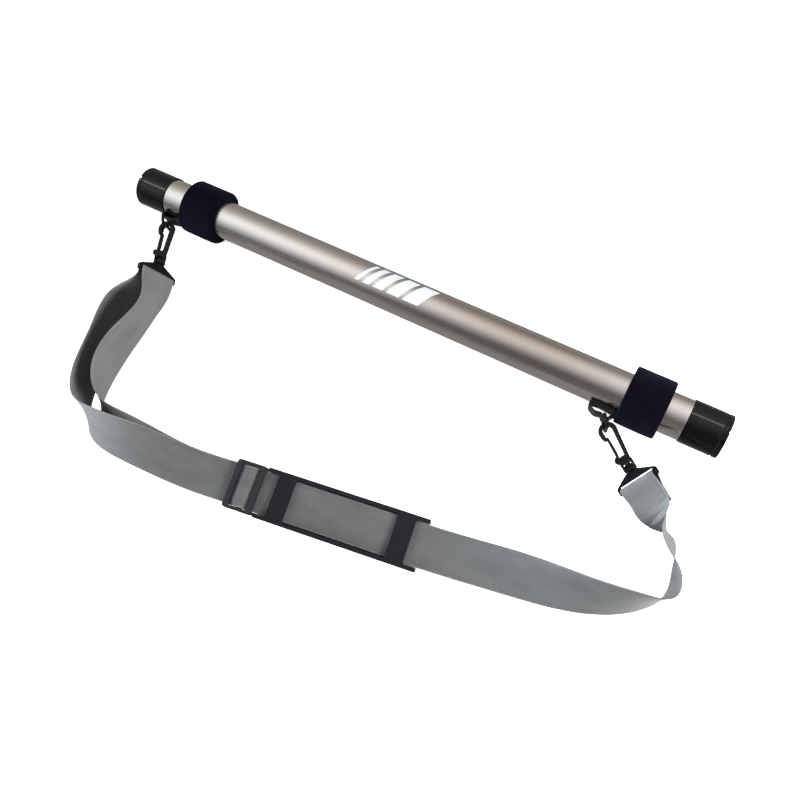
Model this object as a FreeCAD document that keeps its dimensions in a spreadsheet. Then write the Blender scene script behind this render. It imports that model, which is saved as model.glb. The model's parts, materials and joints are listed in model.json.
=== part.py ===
import FreeCAD, Part
import math
import os
import Sketcher
from FreeCAD import Placement, Rotation, Vector

# Rod carry tube with screw-in end plugs, hook-and-loop cuffs and a webbing shoulder strap.
# The origin is the centre of the tube, +X runs along the tube, +Z is up, and the strap lies
# on the -Y side on the same flat surface that the two cuffs rest on.

doc = FreeCAD.newDocument("RodTube")

# ---------------------------------------------------------------- driving sizes, in millimetres
SIZES = {
    "tube_od": 38.0,
    "tube_wall": 1.2,
    "tube_half": 296.0,
    "collar_od": 40.0,
    "collar_inner_x": 276.5,
    "collar_outer_x": 306.0,
    "collar_fit": 0.03,
    "thread_bore": 17.38,
    "thread_fit": 0.08,
    "thread_pitch": 2.5,
    "thread_turns": 3.0,
    "thread_tall": 0.8,
    "thread_root": 0.75,
    "thread_tip": 0.35,
    "thread_sunk": 0.3,
    "gasket_thick": 0.9,
    "gasket_od": 38.8,
    "rim_thick": 4.4,
    "spigot_len": 14.0,
    "spigot_od": 34.6,
    "spigot_bore": 29.6,
    "slot_wide": 2.6,
    "slot_deep": 2.2,
    "knurl_count": 60.0,
    "knurl_deep": 0.45,
    "knurl_half": 0.75,
    "foam_thick": 8.0,
    "cuff_width": 37.0,
    "cuff_bore": 19.05,
    "cuff_strap": 3.7,
    "cuff_tape": 0.6,
    "cuff_tilt": -12.0,
    "cuff_left_x": -251.0,
    "cuff_right_x": 221.0,
    "tab_wide": 18.0,
    "tab_thick": 1.2,
    "tab_z": -3.0,
    "tab_grip": 11.0,
    "ring_wire": 3.2,
    "ring_reach": 11.0,
    "ring_open": 20.0,
    "ring_bend": 2.6,
    "hook_thick": 6.0,
    "eye_bore": 4.6,
    "eye_wall": 3.6,
    "eye_offset": 2.6,
    "yoke_radius": 6.0,
    "yoke_start": 32.0,
    "yoke_end": 42.0,
    "gate_x": 29.6,
    "gate_y": -4.6,
    "gate_knuckle": 2.0,
    "gate_thick": 1.8,
    "gate_deep": 5.0,
    "swivel_fit": 0.08,
    "post_radius": 2.5,
    "post_back": 6.5,
    "post_long": 8.5,
    "head_back": 5.6,
    "head_long": 2.6,
    "head_lip": 1.2,
    "base_bar_x": 54.4,
    "base_half": 23.0,
    "base_thick": 4.4,
    "base_bar_out": 2.2,
    "base_bar_in": 2.0,
    "base_slot_in": 4.6,
    "base_corner": 2.0,
    "webbing_wide": 40.0,
    "webbing_thick": 1.3,
    "run_z": -22.0,
    "run_yaw": 9.0,
    "pad_x": 34.0,
    "pad_y": -213.0,
    "pad_along": 4.0,
    "pad_length": 162.0,
    "pad_wide": 49.4,
    "pad_slot": 41.4,
    "pad_floor": -5.3,
    "plate_thick": 2.4,
    "rail_tall": 8.4,
    "bar_wide": 18.0,
    "bar_inset": 12.0,
    "bar_low": 0.9,
    "bar_thick": 1.8,
    "slider_along": -94.0,
    "slider_length": 31.0,
    "slider_wide": 48.0,
    "slider_bar": 6.0,
    "slider_thick": 2.6,
    "slider_low": -4.0,
    "slider_gap": 0.85,
    "slider_corner": 3.0,
    "slider_soft": 0.9,
    "centre_thick": 1.6,
    "sewn_end": 26.0,
    "sewn_gap": 0.8,
    "return_low": -4.75,
    "return_high": -1.6,
    "stitch_thick": 0.35,
    "stitch_wide": 0.7,
    "stitch_gap": 0.22,
}


def make_sheet(values):
    sheet = doc.addObject("Spreadsheet::Sheet", "Sizes")
    for row, (alias, value) in enumerate(values.items(), start=1):
        sheet.set(f"A{row}", alias)
        sheet.set(f"B{row}", str(value))
        sheet.setAlias(f"B{row}", alias)
    doc.recompute()
    return sheet


sheet = make_sheet(SIZES)


def size(alias):
    return float(sheet.get(alias))


nodes = []


def keep(obj, label, placement=None):
    """Names a finished sub-part, places it and lists it for export."""
    obj.Label = label
    if placement is not None:
        obj.Placement = placement
    nodes.append(obj)
    return obj


def solid_node(label, shape, placement=None):
    obj = doc.addObject("Part::Feature", label)
    obj.Shape = shape
    return keep(obj, label, placement)


# ---------------------------------------------------------------- sketch and body helpers
def new_body(name):
    return doc.addObject("PartDesign::Body", name)


def new_sketch(body, name, role):
    sketch = body.newObject("Sketcher::SketchObject", name)
    plane = [f for f in body.Origin.OriginFeatures if f.Role == role][0]
    sketch.AttachmentSupport = [(plane, "")]
    sketch.MapMode = "FlatFace"
    return sketch


def number(expression):
    """Value of an expression of sheet aliases, for the starting place of a sketch point."""
    text = str(expression)
    for alias in sorted(SIZES, key=len, reverse=True):
        text = text.replace("Sizes." + alias, str(SIZES[alias]))
    return parse_sum(text)


def parse_sum(text):
    """Adds up terms such as 12 - 3 / 2 + 4 * 5 written with spaces around + and -."""
    total = 0.0
    for token in text.replace(" - ", " + -1 * ").split(" + "):
        term = 1.0
        for factor in token.split(" * "):
            pieces = factor.split(" / ")
            value = float(pieces[0])
            for divisor in pieces[1:]:
                value /= float(divisor)
            term *= value
        total += term
    return total


def outline(sketch, points):
    """Closed polygon whose corners are tied to the sheet with expressions."""
    places = [(number(x), number(y)) for x, y in points]
    first = sketch.GeometryCount
    count = len(places)
    for i, (x, y) in enumerate(places):
        nx, ny = places[(i + 1) % count]
        sketch.addGeometry(Part.LineSegment(Vector(x, y, 0), Vector(nx, ny, 0)))
    for i in range(count):
        sketch.addConstraint(
            Sketcher.Constraint("Coincident", first + i, 2, first + (i + 1) % count, 1)
        )
    for i, (point, place) in enumerate(zip(points, places)):
        for kind, text, value in zip(("DistanceX", "DistanceY"), point, place):
            index = sketch.addConstraint(Sketcher.Constraint(kind, -1, 1, first + i, 1, value))
            sketch.setExpression(f"Constraints[{index}]", str(text))


def rectangle(sketch, low_x, low_y, high_x, high_y):
    outline(sketch, [(low_x, low_y), (high_x, low_y), (high_x, high_y), (low_x, high_y)])


def circle(sketch, x, y, radius):
    centre = Vector(number(x), number(y), 0)
    index = sketch.addGeometry(Part.Circle(centre, Vector(0, 0, 1), number(radius)))
    for kind, text in (("DistanceX", x), ("DistanceY", y)):
        made = sketch.addConstraint(Sketcher.Constraint(kind, -1, 1, index, 3, number(text)))
        sketch.setExpression(f"Constraints[{made}]", str(text))
    made = sketch.addConstraint(Sketcher.Constraint("Radius", index, number(radius)))
    sketch.setExpression(f"Constraints[{made}]", str(radius))


def pad_feature(body, name, sketch, length, middle=True):
    pad = body.newObject("PartDesign::Pad", name)
    pad.Profile = sketch
    pad.Midplane = middle
    pad.setExpression("Length", length)
    return pad


def pocket_feature(body, name, sketch, length):
    """Cut on both sides of the sketch plane, so that its direction never matters."""
    pocket = body.newObject("PartDesign::Pocket", name)
    pocket.Profile = sketch
    pocket.Midplane = True
    pocket.setExpression("Length", length)
    return pocket


def revolve_feature(body, name, sketch):
    turned = body.newObject("PartDesign::Revolution", name)
    turned.Profile = sketch
    turned.ReferenceAxis = (sketch, ["V_Axis"])
    turned.Angle = 360.0
    return turned


def fillet_feature(body, name, radius, chosen):
    """Rounds the edges of the body's tip that the chosen test accepts."""
    doc.recompute()
    base = body.Tip
    edges = [f"Edge{i + 1}" for i, e in enumerate(base.Shape.Edges) if chosen(e)]
    fillet = body.newObject("PartDesign::Fillet", name)
    fillet.Base = (base, edges)
    fillet.Radius = radius
    doc.recompute()
    return fillet


def along(edge, axis):
    """True when a straight edge runs along the given axis."""
    if edge.Curve.TypeId != "Part::GeomLine":
        return False
    return abs(edge.Curve.Direction.dot(axis)) > 0.999


AXIS_X, AXIS_Y, AXIS_Z = Vector(1, 0, 0), Vector(0, 1, 0), Vector(0, 0, 1)
ENDS = {"left": -1, "right": 1}


def end_placement(side, x):
    """Local +Z points outward along the tube at distance x from its centre."""
    sign = ENDS[side]
    return Placement(Vector(sign * x, 0, 0), Rotation(AXIS_Y, 90 * sign))


# ---------------------------------------------------------------- tube
def make_tube():
    outer = doc.addObject("Part::Cylinder", "tube_outside")
    outer.setExpression("Radius", "Sizes.tube_od / 2")
    outer.setExpression("Height", "Sizes.tube_half * 2")
    bore = doc.addObject("Part::Cylinder", "tube_bore")
    bore.setExpression("Radius", "Sizes.tube_od / 2 - Sizes.tube_wall")
    bore.setExpression("Height", "Sizes.tube_half * 2")
    tube = doc.addObject("Part::Cut", "tube_cut")
    tube.Base = outer
    tube.Tool = bore
    half = size("tube_half")
    keep(tube, "tube", Placement(Vector(-half, 0, 0), Rotation(AXIS_Y, 90)))


# ---------------------------------------------------------------- collars, plugs and gaskets
def screw_thread(radius, tall, widen):
    """Helical ridge standing on a cylinder, along +Z from the origin, right-handed."""
    pitch = size("thread_pitch")
    root = size("thread_root") + widen
    tip = size("thread_tip") + widen
    sunk = size("thread_sunk")
    corners = [
        Vector(radius - sunk, 0, -root),
        Vector(radius + tall, 0, -tip),
        Vector(radius + tall, 0, tip),
        Vector(radius - sunk, 0, root),
    ]
    spine = Part.makeHelix(pitch, pitch * size("thread_turns"), radius)
    sweep = Part.BRepOffsetAPI.MakePipeShell(Part.Wire(spine.Edges))
    sweep.setFrenetMode(True)
    sweep.add(Part.makePolygon(corners + corners[:1]))
    sweep.build()
    sweep.makeSolid()
    return sweep.shape()


def thread_start():
    """Distance of the first thread centre from the tube's middle."""
    return size("collar_outer_x") - size("thread_turns") * size("thread_pitch") - 1.0


def make_collar(side):
    body = new_body(f"collar_body_{side}")
    sketch = new_sketch(body, f"collar_profile_{side}", "XZ_Plane")
    length = "Sizes.collar_outer_x - Sizes.collar_inner_x"
    shoulder = "Sizes.tube_half - Sizes.collar_inner_x + 0.1"
    sleeve = "Sizes.tube_od / 2 + Sizes.collar_fit"
    outside = "Sizes.collar_od / 2"
    outline(
        sketch,
        [
            (sleeve, "0"),
            (outside + " - 0.4", "0"),
            (outside, "0.4"),
            (outside, length + " - 0.3"),
            (outside + " - 0.3", length),
            ("Sizes.thread_bore + 0.5", length),
            ("Sizes.thread_bore", length + " - 0.5"),
            ("Sizes.thread_bore", shoulder),
            (sleeve, shoulder),
        ],
    )
    revolve_feature(body, f"collar_turned_{side}", sketch)
    doc.recompute()
    fit = size("thread_fit")
    ridge = size("thread_bore") - fit
    turns = size("thread_turns")
    tool = screw_thread(ridge, size("thread_tall") + fit, fit)
    start = thread_start() - size("collar_inner_x")
    pitch = size("thread_pitch")
    # The groove is cut one turn further out, so the ridge can leave through the open end.
    groove = tool.copy()
    groove.translate(Vector(0, 0, start))
    onward = tool.copy()
    onward.translate(Vector(0, 0, start + pitch * turns))
    shape = body.Shape.cut(groove).cut(onward)
    solid_node(f"collar_{side}", shape, end_placement(side, size("collar_inner_x")))


def make_plug(side):
    body = new_body(f"plug_body_{side}")
    sketch = new_sketch(body, f"plug_profile_{side}", "XZ_Plane")
    outside = "Sizes.collar_od / 2"
    spigot = "Sizes.spigot_od / 2"
    bore = "Sizes.spigot_bore / 2"
    inner_end = "0 - Sizes.spigot_len"
    outline(
        sketch,
        [
            ("0", "0.6"),
            ("0", "Sizes.rim_thick"),
            (outside + " - 0.8", "Sizes.rim_thick"),
            (outside, "Sizes.rim_thick - 0.8"),
            (outside, "0.3"),
            (outside + " - 0.3", "0"),
            (spigot, "0"),
            (spigot, inner_end + " + 0.6"),
            (spigot + " - 0.6", inner_end),
            (bore, inner_end),
            (bore, "0.6"),
        ],
    )
    revolve_feature(body, f"plug_turned_{side}", sketch)

    coin = new_sketch(body, f"coin_slot_{side}", "XY_Plane")
    wide = "Sizes.slot_wide / 2"
    across, low_across = outside + " + 1", "0 - " + outside + " - 1"
    rectangle(coin, low_across, "0 - " + wide, across, wide)
    coin.AttachmentOffset = Placement(Vector(0, 0, size("rim_thick")), Rotation())
    pocket_feature(body, f"coin_cut_{side}", coin, "Sizes.slot_deep * 2")

    notch = new_sketch(body, f"knurl_notch_{side}", "XY_Plane")
    outline(
        notch,
        [
            (outside + " - Sizes.knurl_deep", "0"),
            (outside + " + 0.4", "0 - Sizes.knurl_half"),
            (outside + " + 0.4", "Sizes.knurl_half"),
        ],
    )
    notch.AttachmentOffset = Placement(Vector(0, 0, size("rim_thick") / 2), Rotation())
    cut = pocket_feature(body, f"knurl_cut_{side}", notch, "Sizes.rim_thick - 1.4")
    ring = body.newObject("PartDesign::PolarPattern", f"knurl_ring_{side}")
    ring.Originals = [cut]
    ring.Axis = ([f for f in body.Origin.OriginFeatures if f.Role == "Z_Axis"][0], [""])
    ring.Angle = 360.0
    ring.Occurrences = int(size("knurl_count"))
    body.Tip = ring
    doc.recompute()

    ridge = screw_thread(size("spigot_od") / 2, size("thread_tall"), 0.0)
    seat = size("collar_outer_x") + size("gasket_thick") + 0.1
    ridge.translate(Vector(0, 0, thread_start() - seat))
    solid_node(f"plug_{side}", body.Shape.fuse(ridge), end_placement(side, seat))


def make_gasket(side):
    outer = doc.addObject("Part::Cylinder", f"gasket_outside_{side}")
    outer.setExpression("Radius", "Sizes.gasket_od / 2")
    outer.setExpression("Height", "Sizes.gasket_thick")
    hole = doc.addObject("Part::Cylinder", f"gasket_hole_{side}")
    hole.setExpression("Radius", "Sizes.thread_bore + Sizes.thread_tall + 0.1")
    hole.setExpression("Height", "Sizes.gasket_thick")
    gasket = doc.addObject("Part::Cut", f"gasket_cut_{side}")
    gasket.Base = outer
    gasket.Tool = hole
    keep(gasket, f"gasket_{side}", end_placement(side, size("collar_outer_x") + 0.05))


def make_foam_pad(side):
    foam = doc.addObject("Part::Cylinder", f"foam_disc_{side}")
    foam.setExpression("Radius", "Sizes.spigot_bore / 2 - 0.1")
    foam.setExpression("Height", "Sizes.foam_thick")
    seat = size("collar_outer_x") + size("gasket_thick") + 0.1
    inner = seat + 0.5 - size("foam_thick")
    keep(foam, f"foam_pad_{side}", end_placement(side, inner))


# ---------------------------------------------------------------- hook-and-loop cuffs and tabs
CUFF_RAMP_START = 300.0
CUFF_RAMP_END = 360.0
CUFF_TAIL = 655.0
TAPE_START = 590.0


def wound_radius(angle, step):
    """Radius of a strap that lies on the tube for one turn and then climbs onto itself."""
    bore = size("cuff_bore")
    if angle <= CUFF_RAMP_START:
        return bore
    if angle >= CUFF_RAMP_END:
        return bore + step
    part = (angle - CUFF_RAMP_START) / (CUFF_RAMP_END - CUFF_RAMP_START)
    return bore + step * (1 - math.cos(math.pi * part)) / 2


def wound_curve(start, end, step, offset):
    """Curve in the YZ plane; the angle is measured from +Y through +Z."""
    points = []
    count = max(6, int((end - start) / 12))
    for i in range(count + 1):
        angle = start + (end - start) * i / count
        radius = wound_radius(angle, step) + offset
        turn = math.radians(angle)
        points.append(Vector(0, radius * math.cos(turn), radius * math.sin(turn)))
    curve = Part.BSplineCurve()
    curve.interpolate(points)
    return curve.toShape()


def wound_strip(start, end, step, offset, thick, width):
    inner = wound_curve(start, end, step, offset)
    outer = wound_curve(start, end, step, offset + thick)
    first = Part.makeLine(inner.Vertexes[0].Point, outer.Vertexes[0].Point)
    last = Part.makeLine(inner.Vertexes[-1].Point, outer.Vertexes[-1].Point)
    face = Part.Face(Part.Wire(Part.sortEdges([inner, first, outer, last])[0]))
    return face.extrude(Vector(width, 0, 0))


def make_cuff(side):
    x = size(f"cuff_{side}_x")
    strap, tape = size("cuff_strap"), size("cuff_tape")
    step = strap + tape + 0.1
    wrap = wound_strip(0, CUFF_TAIL, step, 0, strap, size("cuff_width"))
    room = 0.3
    pocket_deep = 2 * size("tab_thick") + room
    pocket = Part.makeBox(
        size("tab_grip") + room,
        size("cuff_bore") + pocket_deep,
        size("tab_wide") + 2 * room,
        Vector(0, -size("cuff_bore") - pocket_deep, size("tab_z") - size("tab_wide") / 2 - room),
    )
    tilt = Rotation(AXIS_X, size("cuff_tilt"))
    wrap.Placement = Placement(Vector(x, 0, 0), tilt)
    pocket.translate(Vector(x, 0, 0))
    solid_node(f"cuff_{side}", wrap.cut(pocket))
    grip = wound_strip(TAPE_START, CUFF_TAIL - 3, step, -tape - 0.05, tape, size("cuff_width") - 4)
    solid_node(f"hook_tape_{side}", grip, Placement(Vector(x + 2, 0, 0), tilt))


# Each tab is a flat webbing loop: it leaves the cuff along -X, folds back at its free end and
# returns to the cuff, with the ring's inner bar inside the loop.
TAB_RING = {"left": (-273.3, -22.15), "right": (212.4, -26.6)}
TAB_FOLD = {"left": -276.2, "right": 196.0}


def tab_sides(side):
    """Outer and inner corners of the loop, as (x, y) pairs."""
    thick = size("tab_thick")
    cuff = size(f"cuff_{side}_x")
    held = cuff + size("tab_grip")
    fold = TAB_FOLD[side]
    bar_x, bar_y = TAB_RING[side]
    near = -size("cuff_bore") - 0.05
    reach = size("ring_wire") / 2 + 0.15
    outer = [
        (held, near),
        (fold + 0.6, near),
        (fold, near - 0.8),
        (max(fold, bar_x - reach - thick), bar_y - reach + 0.4),
        (bar_x - 1.2, bar_y - reach - thick),
        (bar_x + 1.6, bar_y - reach - thick),
        (cuff - 0.5, near - 2 * thick - 0.15),
        (held, near - 2 * thick - 0.15),
    ]
    inner = [
        (cuff - 2.0, near - thick),
        (fold + thick + 0.2, near - thick),
        (max(fold + thick, bar_x - reach), bar_y - reach + 0.9),
        (bar_x - 0.9, bar_y - reach),
        (bar_x + 1.2, bar_y - reach),
    ]
    return outer, inner


def make_tab(side):
    body = new_body(f"tab_body_{side}")
    sketch = new_sketch(body, f"tab_loop_{side}", "XY_Plane")
    for ring in tab_sides(side):
        outline(sketch, [(f"{x:.2f}", f"{y:.2f}") for x, y in ring])
    pad_feature(body, f"tab_band_{side}", sketch, "Sizes.tab_wide")
    keep(body, f"tab_{side}", Placement(Vector(0, 0, size("tab_z")), Rotation()))


# ---------------------------------------------------------------- rings and swivel hooks
# Heading of each hook in the horizontal plane, from the ring's outer bar to the strap.
HOOK_HEADING = {"left": -70.0, "right": -36.0}
RING_HEADING = {"left": -60.0, "right": -53.0}
SWIVEL_LEAN = {"left": 114.0, "right": 48.0}


def heading(angle):
    turn = math.radians(angle)
    return Vector(math.cos(turn), math.sin(turn), 0)


def ring_inner(side):
    x, y = TAB_RING[side]
    return Vector(x, y, size("tab_z"))


def ring_outer(side):
    return ring_inner(side) + heading(RING_HEADING[side]) * size("ring_reach")


def make_ring(side):
    """Rectangular wire loop: local +X from the inner bar to the outer bar, bars along Z."""
    radius = size("ring_wire") / 2
    reach = size("ring_reach")
    half = size("ring_open") / 2 + radius
    bend = size("ring_bend")
    corners = [Vector(x, 0, z) for x, z in ((0, half), (reach, half), (reach, -half), (0, -half))]
    edges = []
    count = len(corners)
    starts, ends = [], []
    for i, here in enumerate(corners):
        before = corners[i - 1]
        after = corners[(i + 1) % count]
        entry = here + (before - here).normalize() * bend
        leave = here + (after - here).normalize() * bend
        middle = here + ((entry - here) + (leave - here)) * (1 - math.sqrt(0.5))
        edges.append(Part.Arc(entry, middle, leave).toShape())
        starts.append(entry)
        ends.append(leave)
    for i in range(count):
        edges.append(Part.makeLine(ends[i], starts[(i + 1) % count]))
    path = Part.Wire(Part.sortEdges(edges)[0])
    first = path.Edges[0]
    start = first.valueAt(first.FirstParameter)
    tangent = first.tangentAt(first.FirstParameter)
    profile = Part.Wire([Part.makeCircle(radius, start, tangent)])
    ring = path.makePipeShell([profile], True, True)
    spot = Placement(ring_inner(side), Rotation(AXIS_Z, RING_HEADING[side]))
    solid_node(f"ring_{side}", ring, spot)


def hook_placement(side):
    return Placement(ring_outer(side), Rotation(AXIS_Z, HOOK_HEADING[side]))


def make_hook(side):
    """Local origin on the ring's bar, +X towards the strap, gate on the -Y side."""
    body = new_body(f"hook_body_{side}")
    sketch = new_sketch(body, f"hook_eye_{side}", "XY_Plane")
    outside = "Sizes.eye_bore + Sizes.eye_wall"
    circle(sketch, "Sizes.eye_offset", "0", outside)
    circle(sketch, "Sizes.eye_offset", "0", "Sizes.eye_bore")
    pad_feature(body, f"hook_eye_pad_{side}", sketch, "Sizes.hook_thick")

    shank = new_sketch(body, f"hook_shank_{side}", "XY_Plane")
    outline(
        shank,
        [
            ("Sizes.eye_offset", "Sizes.eye_bore"),
            ("Sizes.gate_x - 2", "2.2"),
            ("Sizes.gate_x - 2", "-2"),
            ("Sizes.yoke_start + 2", "-4.5"),
            ("Sizes.yoke_start + 2", "4.5"),
            ("Sizes.eye_offset + 4", "Sizes.eye_bore + Sizes.eye_wall - 0.6"),
            ("Sizes.eye_offset", "Sizes.eye_bore + Sizes.eye_wall"),
        ],
    )
    pad_feature(body, f"hook_shank_pad_{side}", shank, "Sizes.hook_thick")

    nose = new_sketch(body, f"hook_nose_{side}", "XY_Plane")
    inner = "0 - Sizes.eye_bore"
    outer = "0 - Sizes.eye_bore - Sizes.eye_wall"
    outline(
        nose,
        [
            ("Sizes.eye_offset", inner),
            ("Sizes.eye_offset + 7.5", inner),
            ("Sizes.eye_offset + 7", outer + " + 1.6"),
            ("Sizes.eye_offset + 4", outer + " + 0.4"),
            ("Sizes.eye_offset", outer),
        ],
    )
    pad_feature(body, f"hook_nose_pad_{side}", nose, "Sizes.hook_thick")

    lobe = new_sketch(body, f"gate_lobe_{side}", "XY_Plane")
    circle(lobe, "Sizes.gate_x", "Sizes.gate_y", "Sizes.gate_knuckle + 1.8")
    pad_feature(body, f"gate_lobe_pad_{side}", lobe, "Sizes.hook_thick")

    mouth = new_sketch(body, f"eye_mouth_{side}", "XY_Plane")
    outline(
        mouth,
        [
            ("Sizes.eye_offset + 0.01", inner),
            ("Sizes.eye_offset + 0.01", "Sizes.eye_bore"),
            ("Sizes.gate_x - 2", "2.2"),
            ("Sizes.gate_x - 2", "Sizes.gate_y"),
            ("Sizes.gate_x - 3.9", "Sizes.gate_y - 2.6"),
            ("Sizes.eye_offset + 7.6", inner),
        ],
    )
    pocket_feature(body, f"eye_mouth_cut_{side}", mouth, "Sizes.hook_thick * 2")

    socket = new_sketch(body, f"gate_socket_{side}", "XY_Plane")
    circle(socket, "Sizes.gate_x", "Sizes.gate_y", "Sizes.gate_knuckle + 0.07")
    pocket_feature(body, f"gate_socket_cut_{side}", socket, "Sizes.hook_thick * 2")

    slit = new_sketch(body, f"gate_slit_{side}", "XY_Plane")
    outline(
        slit,
        [
            ("Sizes.gate_x", "Sizes.gate_y - 1.1"),
            ("Sizes.gate_x", "Sizes.gate_y + 1.1"),
            ("Sizes.gate_x - 5", "Sizes.gate_y + 3.6"),
            ("Sizes.gate_x - 5", "Sizes.gate_y - 1.1"),
        ],
    )
    pocket_feature(body, f"gate_slit_cut_{side}", slit, "Sizes.hook_thick * 2")

    yoke = body.newObject("PartDesign::AdditiveCylinder", f"yoke_{side}")
    yoke.setExpression("Radius", "Sizes.yoke_radius")
    yoke.setExpression("Height", "Sizes.yoke_end - Sizes.yoke_start")
    yoke.Placement = Placement(Vector(size("yoke_start"), 0, 0), Rotation(AXIS_Y, 90))
    window = new_sketch(body, f"yoke_window_{side}", "XY_Plane")
    rectangle(window, "Sizes.yoke_start + 3", "-4.3", "Sizes.yoke_end - 2.6", "4.3")
    pocket_feature(body, f"yoke_window_cut_{side}", window, "Sizes.yoke_radius * 3")
    bore = body.newObject("PartDesign::SubtractiveCylinder", f"yoke_bore_{side}")
    bore.setExpression("Radius", "Sizes.post_radius + Sizes.swivel_fit")
    bore.Height = 6
    bore.Placement = Placement(Vector(size("yoke_end") - 4, 0, 0), Rotation(AXIS_Y, 90))
    doc.recompute()
    keep(body, f"hook_{side}", hook_placement(side))


def make_gate(side):
    """Spring gate: a knuckle at its root and a slim arm that closes on the hook's nose."""
    body = new_body(f"gate_body_{side}")
    knuckle = new_sketch(body, f"gate_knuckle_{side}", "XY_Plane")
    circle(knuckle, "Sizes.gate_x", "Sizes.gate_y", "Sizes.gate_knuckle")
    pad_feature(body, f"gate_knuckle_pad_{side}", knuckle, "Sizes.gate_deep")
    arm = new_sketch(body, f"gate_arm_{side}", "XY_Plane")
    tip = "Sizes.eye_offset + 5.0"
    face = "0.1 - Sizes.eye_bore"
    outline(
        arm,
        [
            ("Sizes.gate_x", "Sizes.gate_y - Sizes.gate_thick / 2"),
            ("Sizes.gate_x", "Sizes.gate_y + Sizes.gate_thick / 2"),
            ("Sizes.gate_x - 7", face + " + Sizes.gate_thick - 0.1"),
            (tip, face + " + Sizes.gate_thick"),
            (tip, face),
            ("Sizes.gate_x - 7", face + " - 0.6"),
        ],
    )
    pad_feature(body, f"gate_arm_pad_{side}", arm, "Sizes.gate_deep")
    keep(body, f"gate_{side}", hook_placement(side))


def base_placement(side):
    """The base leans about the hook's own line, by the swivel's angle at rest."""
    lean = Rotation(AXIS_X, SWIVEL_LEAN[side])
    return Placement(ring_outer(side), Rotation(AXIS_Z, HOOK_HEADING[side]) * lean)


def make_base(side):
    """Webbing loop with a headed post; local +Y is the bar direction before the lean."""
    body = new_body(f"base_body_{side}")
    frame = new_sketch(body, f"base_frame_{side}", "XY_Plane")
    half = "Sizes.base_half"
    outer = "Sizes.base_bar_x + Sizes.base_bar_out"
    outline(
        frame,
        [
            ("Sizes.yoke_end + 0.3", "-5"),
            ("Sizes.base_bar_x - 5.6", "0 - " + half + " + Sizes.base_corner"),
            ("Sizes.base_bar_x - 4", "0 - " + half),
            (outer, "0 - " + half),
            (outer, half),
            ("Sizes.base_bar_x - 4", half),
            ("Sizes.base_bar_x - 5.6", half + " - Sizes.base_corner"),
            ("Sizes.yoke_end + 0.3", "5"),
        ],
    )
    pad_feature(body, f"base_plate_{side}", frame, "Sizes.base_thick")
    slot = new_sketch(body, f"base_slot_{side}", "XY_Plane")
    slot_half, low_slot_half = "Sizes.webbing_wide / 2 + 0.6", "0 - Sizes.webbing_wide / 2 - 0.6"
    slot_near, slot_far = "Sizes.base_bar_x - Sizes.base_slot_in", "Sizes.base_bar_x - Sizes.base_bar_in"
    rectangle(slot, slot_near, low_slot_half, slot_far, slot_half)
    pocket_feature(body, f"base_slot_cut_{side}", slot, "Sizes.base_thick * 2")
    bar_faces = (number(outer), number(slot_far))

    def on_bar(edge):
        return along(edge, AXIS_Y) and min(abs(edge.BoundBox.Center.x - x) for x in bar_faces) < 0.01

    fillet_feature(body, f"base_bar_round_{side}", size("base_bar_in") - 0.1, on_bar)
    post = body.newObject("PartDesign::AdditiveCylinder", f"post_{side}")
    post.setExpression("Radius", "Sizes.post_radius")
    post.setExpression("Height", "Sizes.post_long")
    post_start = size("yoke_end") - size("post_back")
    post.Placement = Placement(Vector(post_start, 0, 0), Rotation(AXIS_Y, 90))
    head = body.newObject("PartDesign::AdditiveCylinder", f"post_head_{side}")
    head.setExpression("Radius", "Sizes.post_radius + Sizes.head_lip")
    head.setExpression("Height", "Sizes.head_long")
    head_start = size("yoke_end") - size("head_back")
    head.Placement = Placement(Vector(head_start, 0, 0), Rotation(AXIS_Y, 90))
    doc.recompute()
    keep(body, f"swivel_base_{side}", base_placement(side))


# ---------------------------------------------------------------- webbing
# A strand is a list of stations: centre x, y, z and the direction across the webbing.
def run_point(along_run, across=0.0, height=0.0):
    """Point in the straight run's frame, whose origin is the pad's centre."""
    yaw = math.radians(size("run_yaw"))
    return Vector(
        size("pad_x") + along_run * math.cos(yaw) - across * math.sin(yaw),
        size("pad_y") + along_run * math.sin(yaw) + across * math.cos(yaw),
        size("run_z") + height,
    )


def run_station(along_run, height=0.0):
    yaw = math.radians(size("run_yaw"))
    return run_point(along_run, 0, height), Vector(-math.sin(yaw), math.cos(yaw), 0)


def free_station(x, y, z, across_x, across_y, across_z):
    return Vector(x, y, z), Vector(across_x, across_y, across_z).normalize()


def bar_station(side, turn, radius=3.05):
    """Station on the wrap around a base bar; turn 0 faces the strap, 180 faces the hook."""
    angle = math.radians(turn)
    return base_station(side, radius * math.cos(angle), radius * math.sin(angle))


def base_station(side, beyond, height):
    """Station measured from the bar's centre, along the hook's line and square to the base."""
    place = base_placement(side)
    centre = place.multVec(Vector(size("base_bar_x") + beyond, 0, height))
    return centre, place.Rotation.multVec(AXIS_Y)


def ruled_face(first, second):
    """Face of straight lines between two curves that share their knots."""
    surface = Part.BSplineSurface()
    surface.buildFromPolesMultsKnots(
        [first.getPoles(), second.getPoles()],
        [2, 2],
        first.getMultiplicities(),
        [0.0, 1.0],
        first.getKnots(),
        False,
        False,
        1,
        first.Degree,
    )
    return Part.Face(surface)


def fine_parameters(lengths, gap=6.0, fewest=4):
    """Parameters along a strand, close enough that the edges between them stay parallel."""
    spots = []
    for start, end in zip(lengths[:-1], lengths[1:]):
        count = max(fewest, math.ceil((end - start) / gap))
        spots += [start + (end - start) * i / count for i in range(count)]
    return spots + [lengths[-1]]


def spline(points, parameters):
    curve = Part.BSplineCurve()
    curve.interpolate(Points=points, Parameters=parameters)
    return curve


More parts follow.
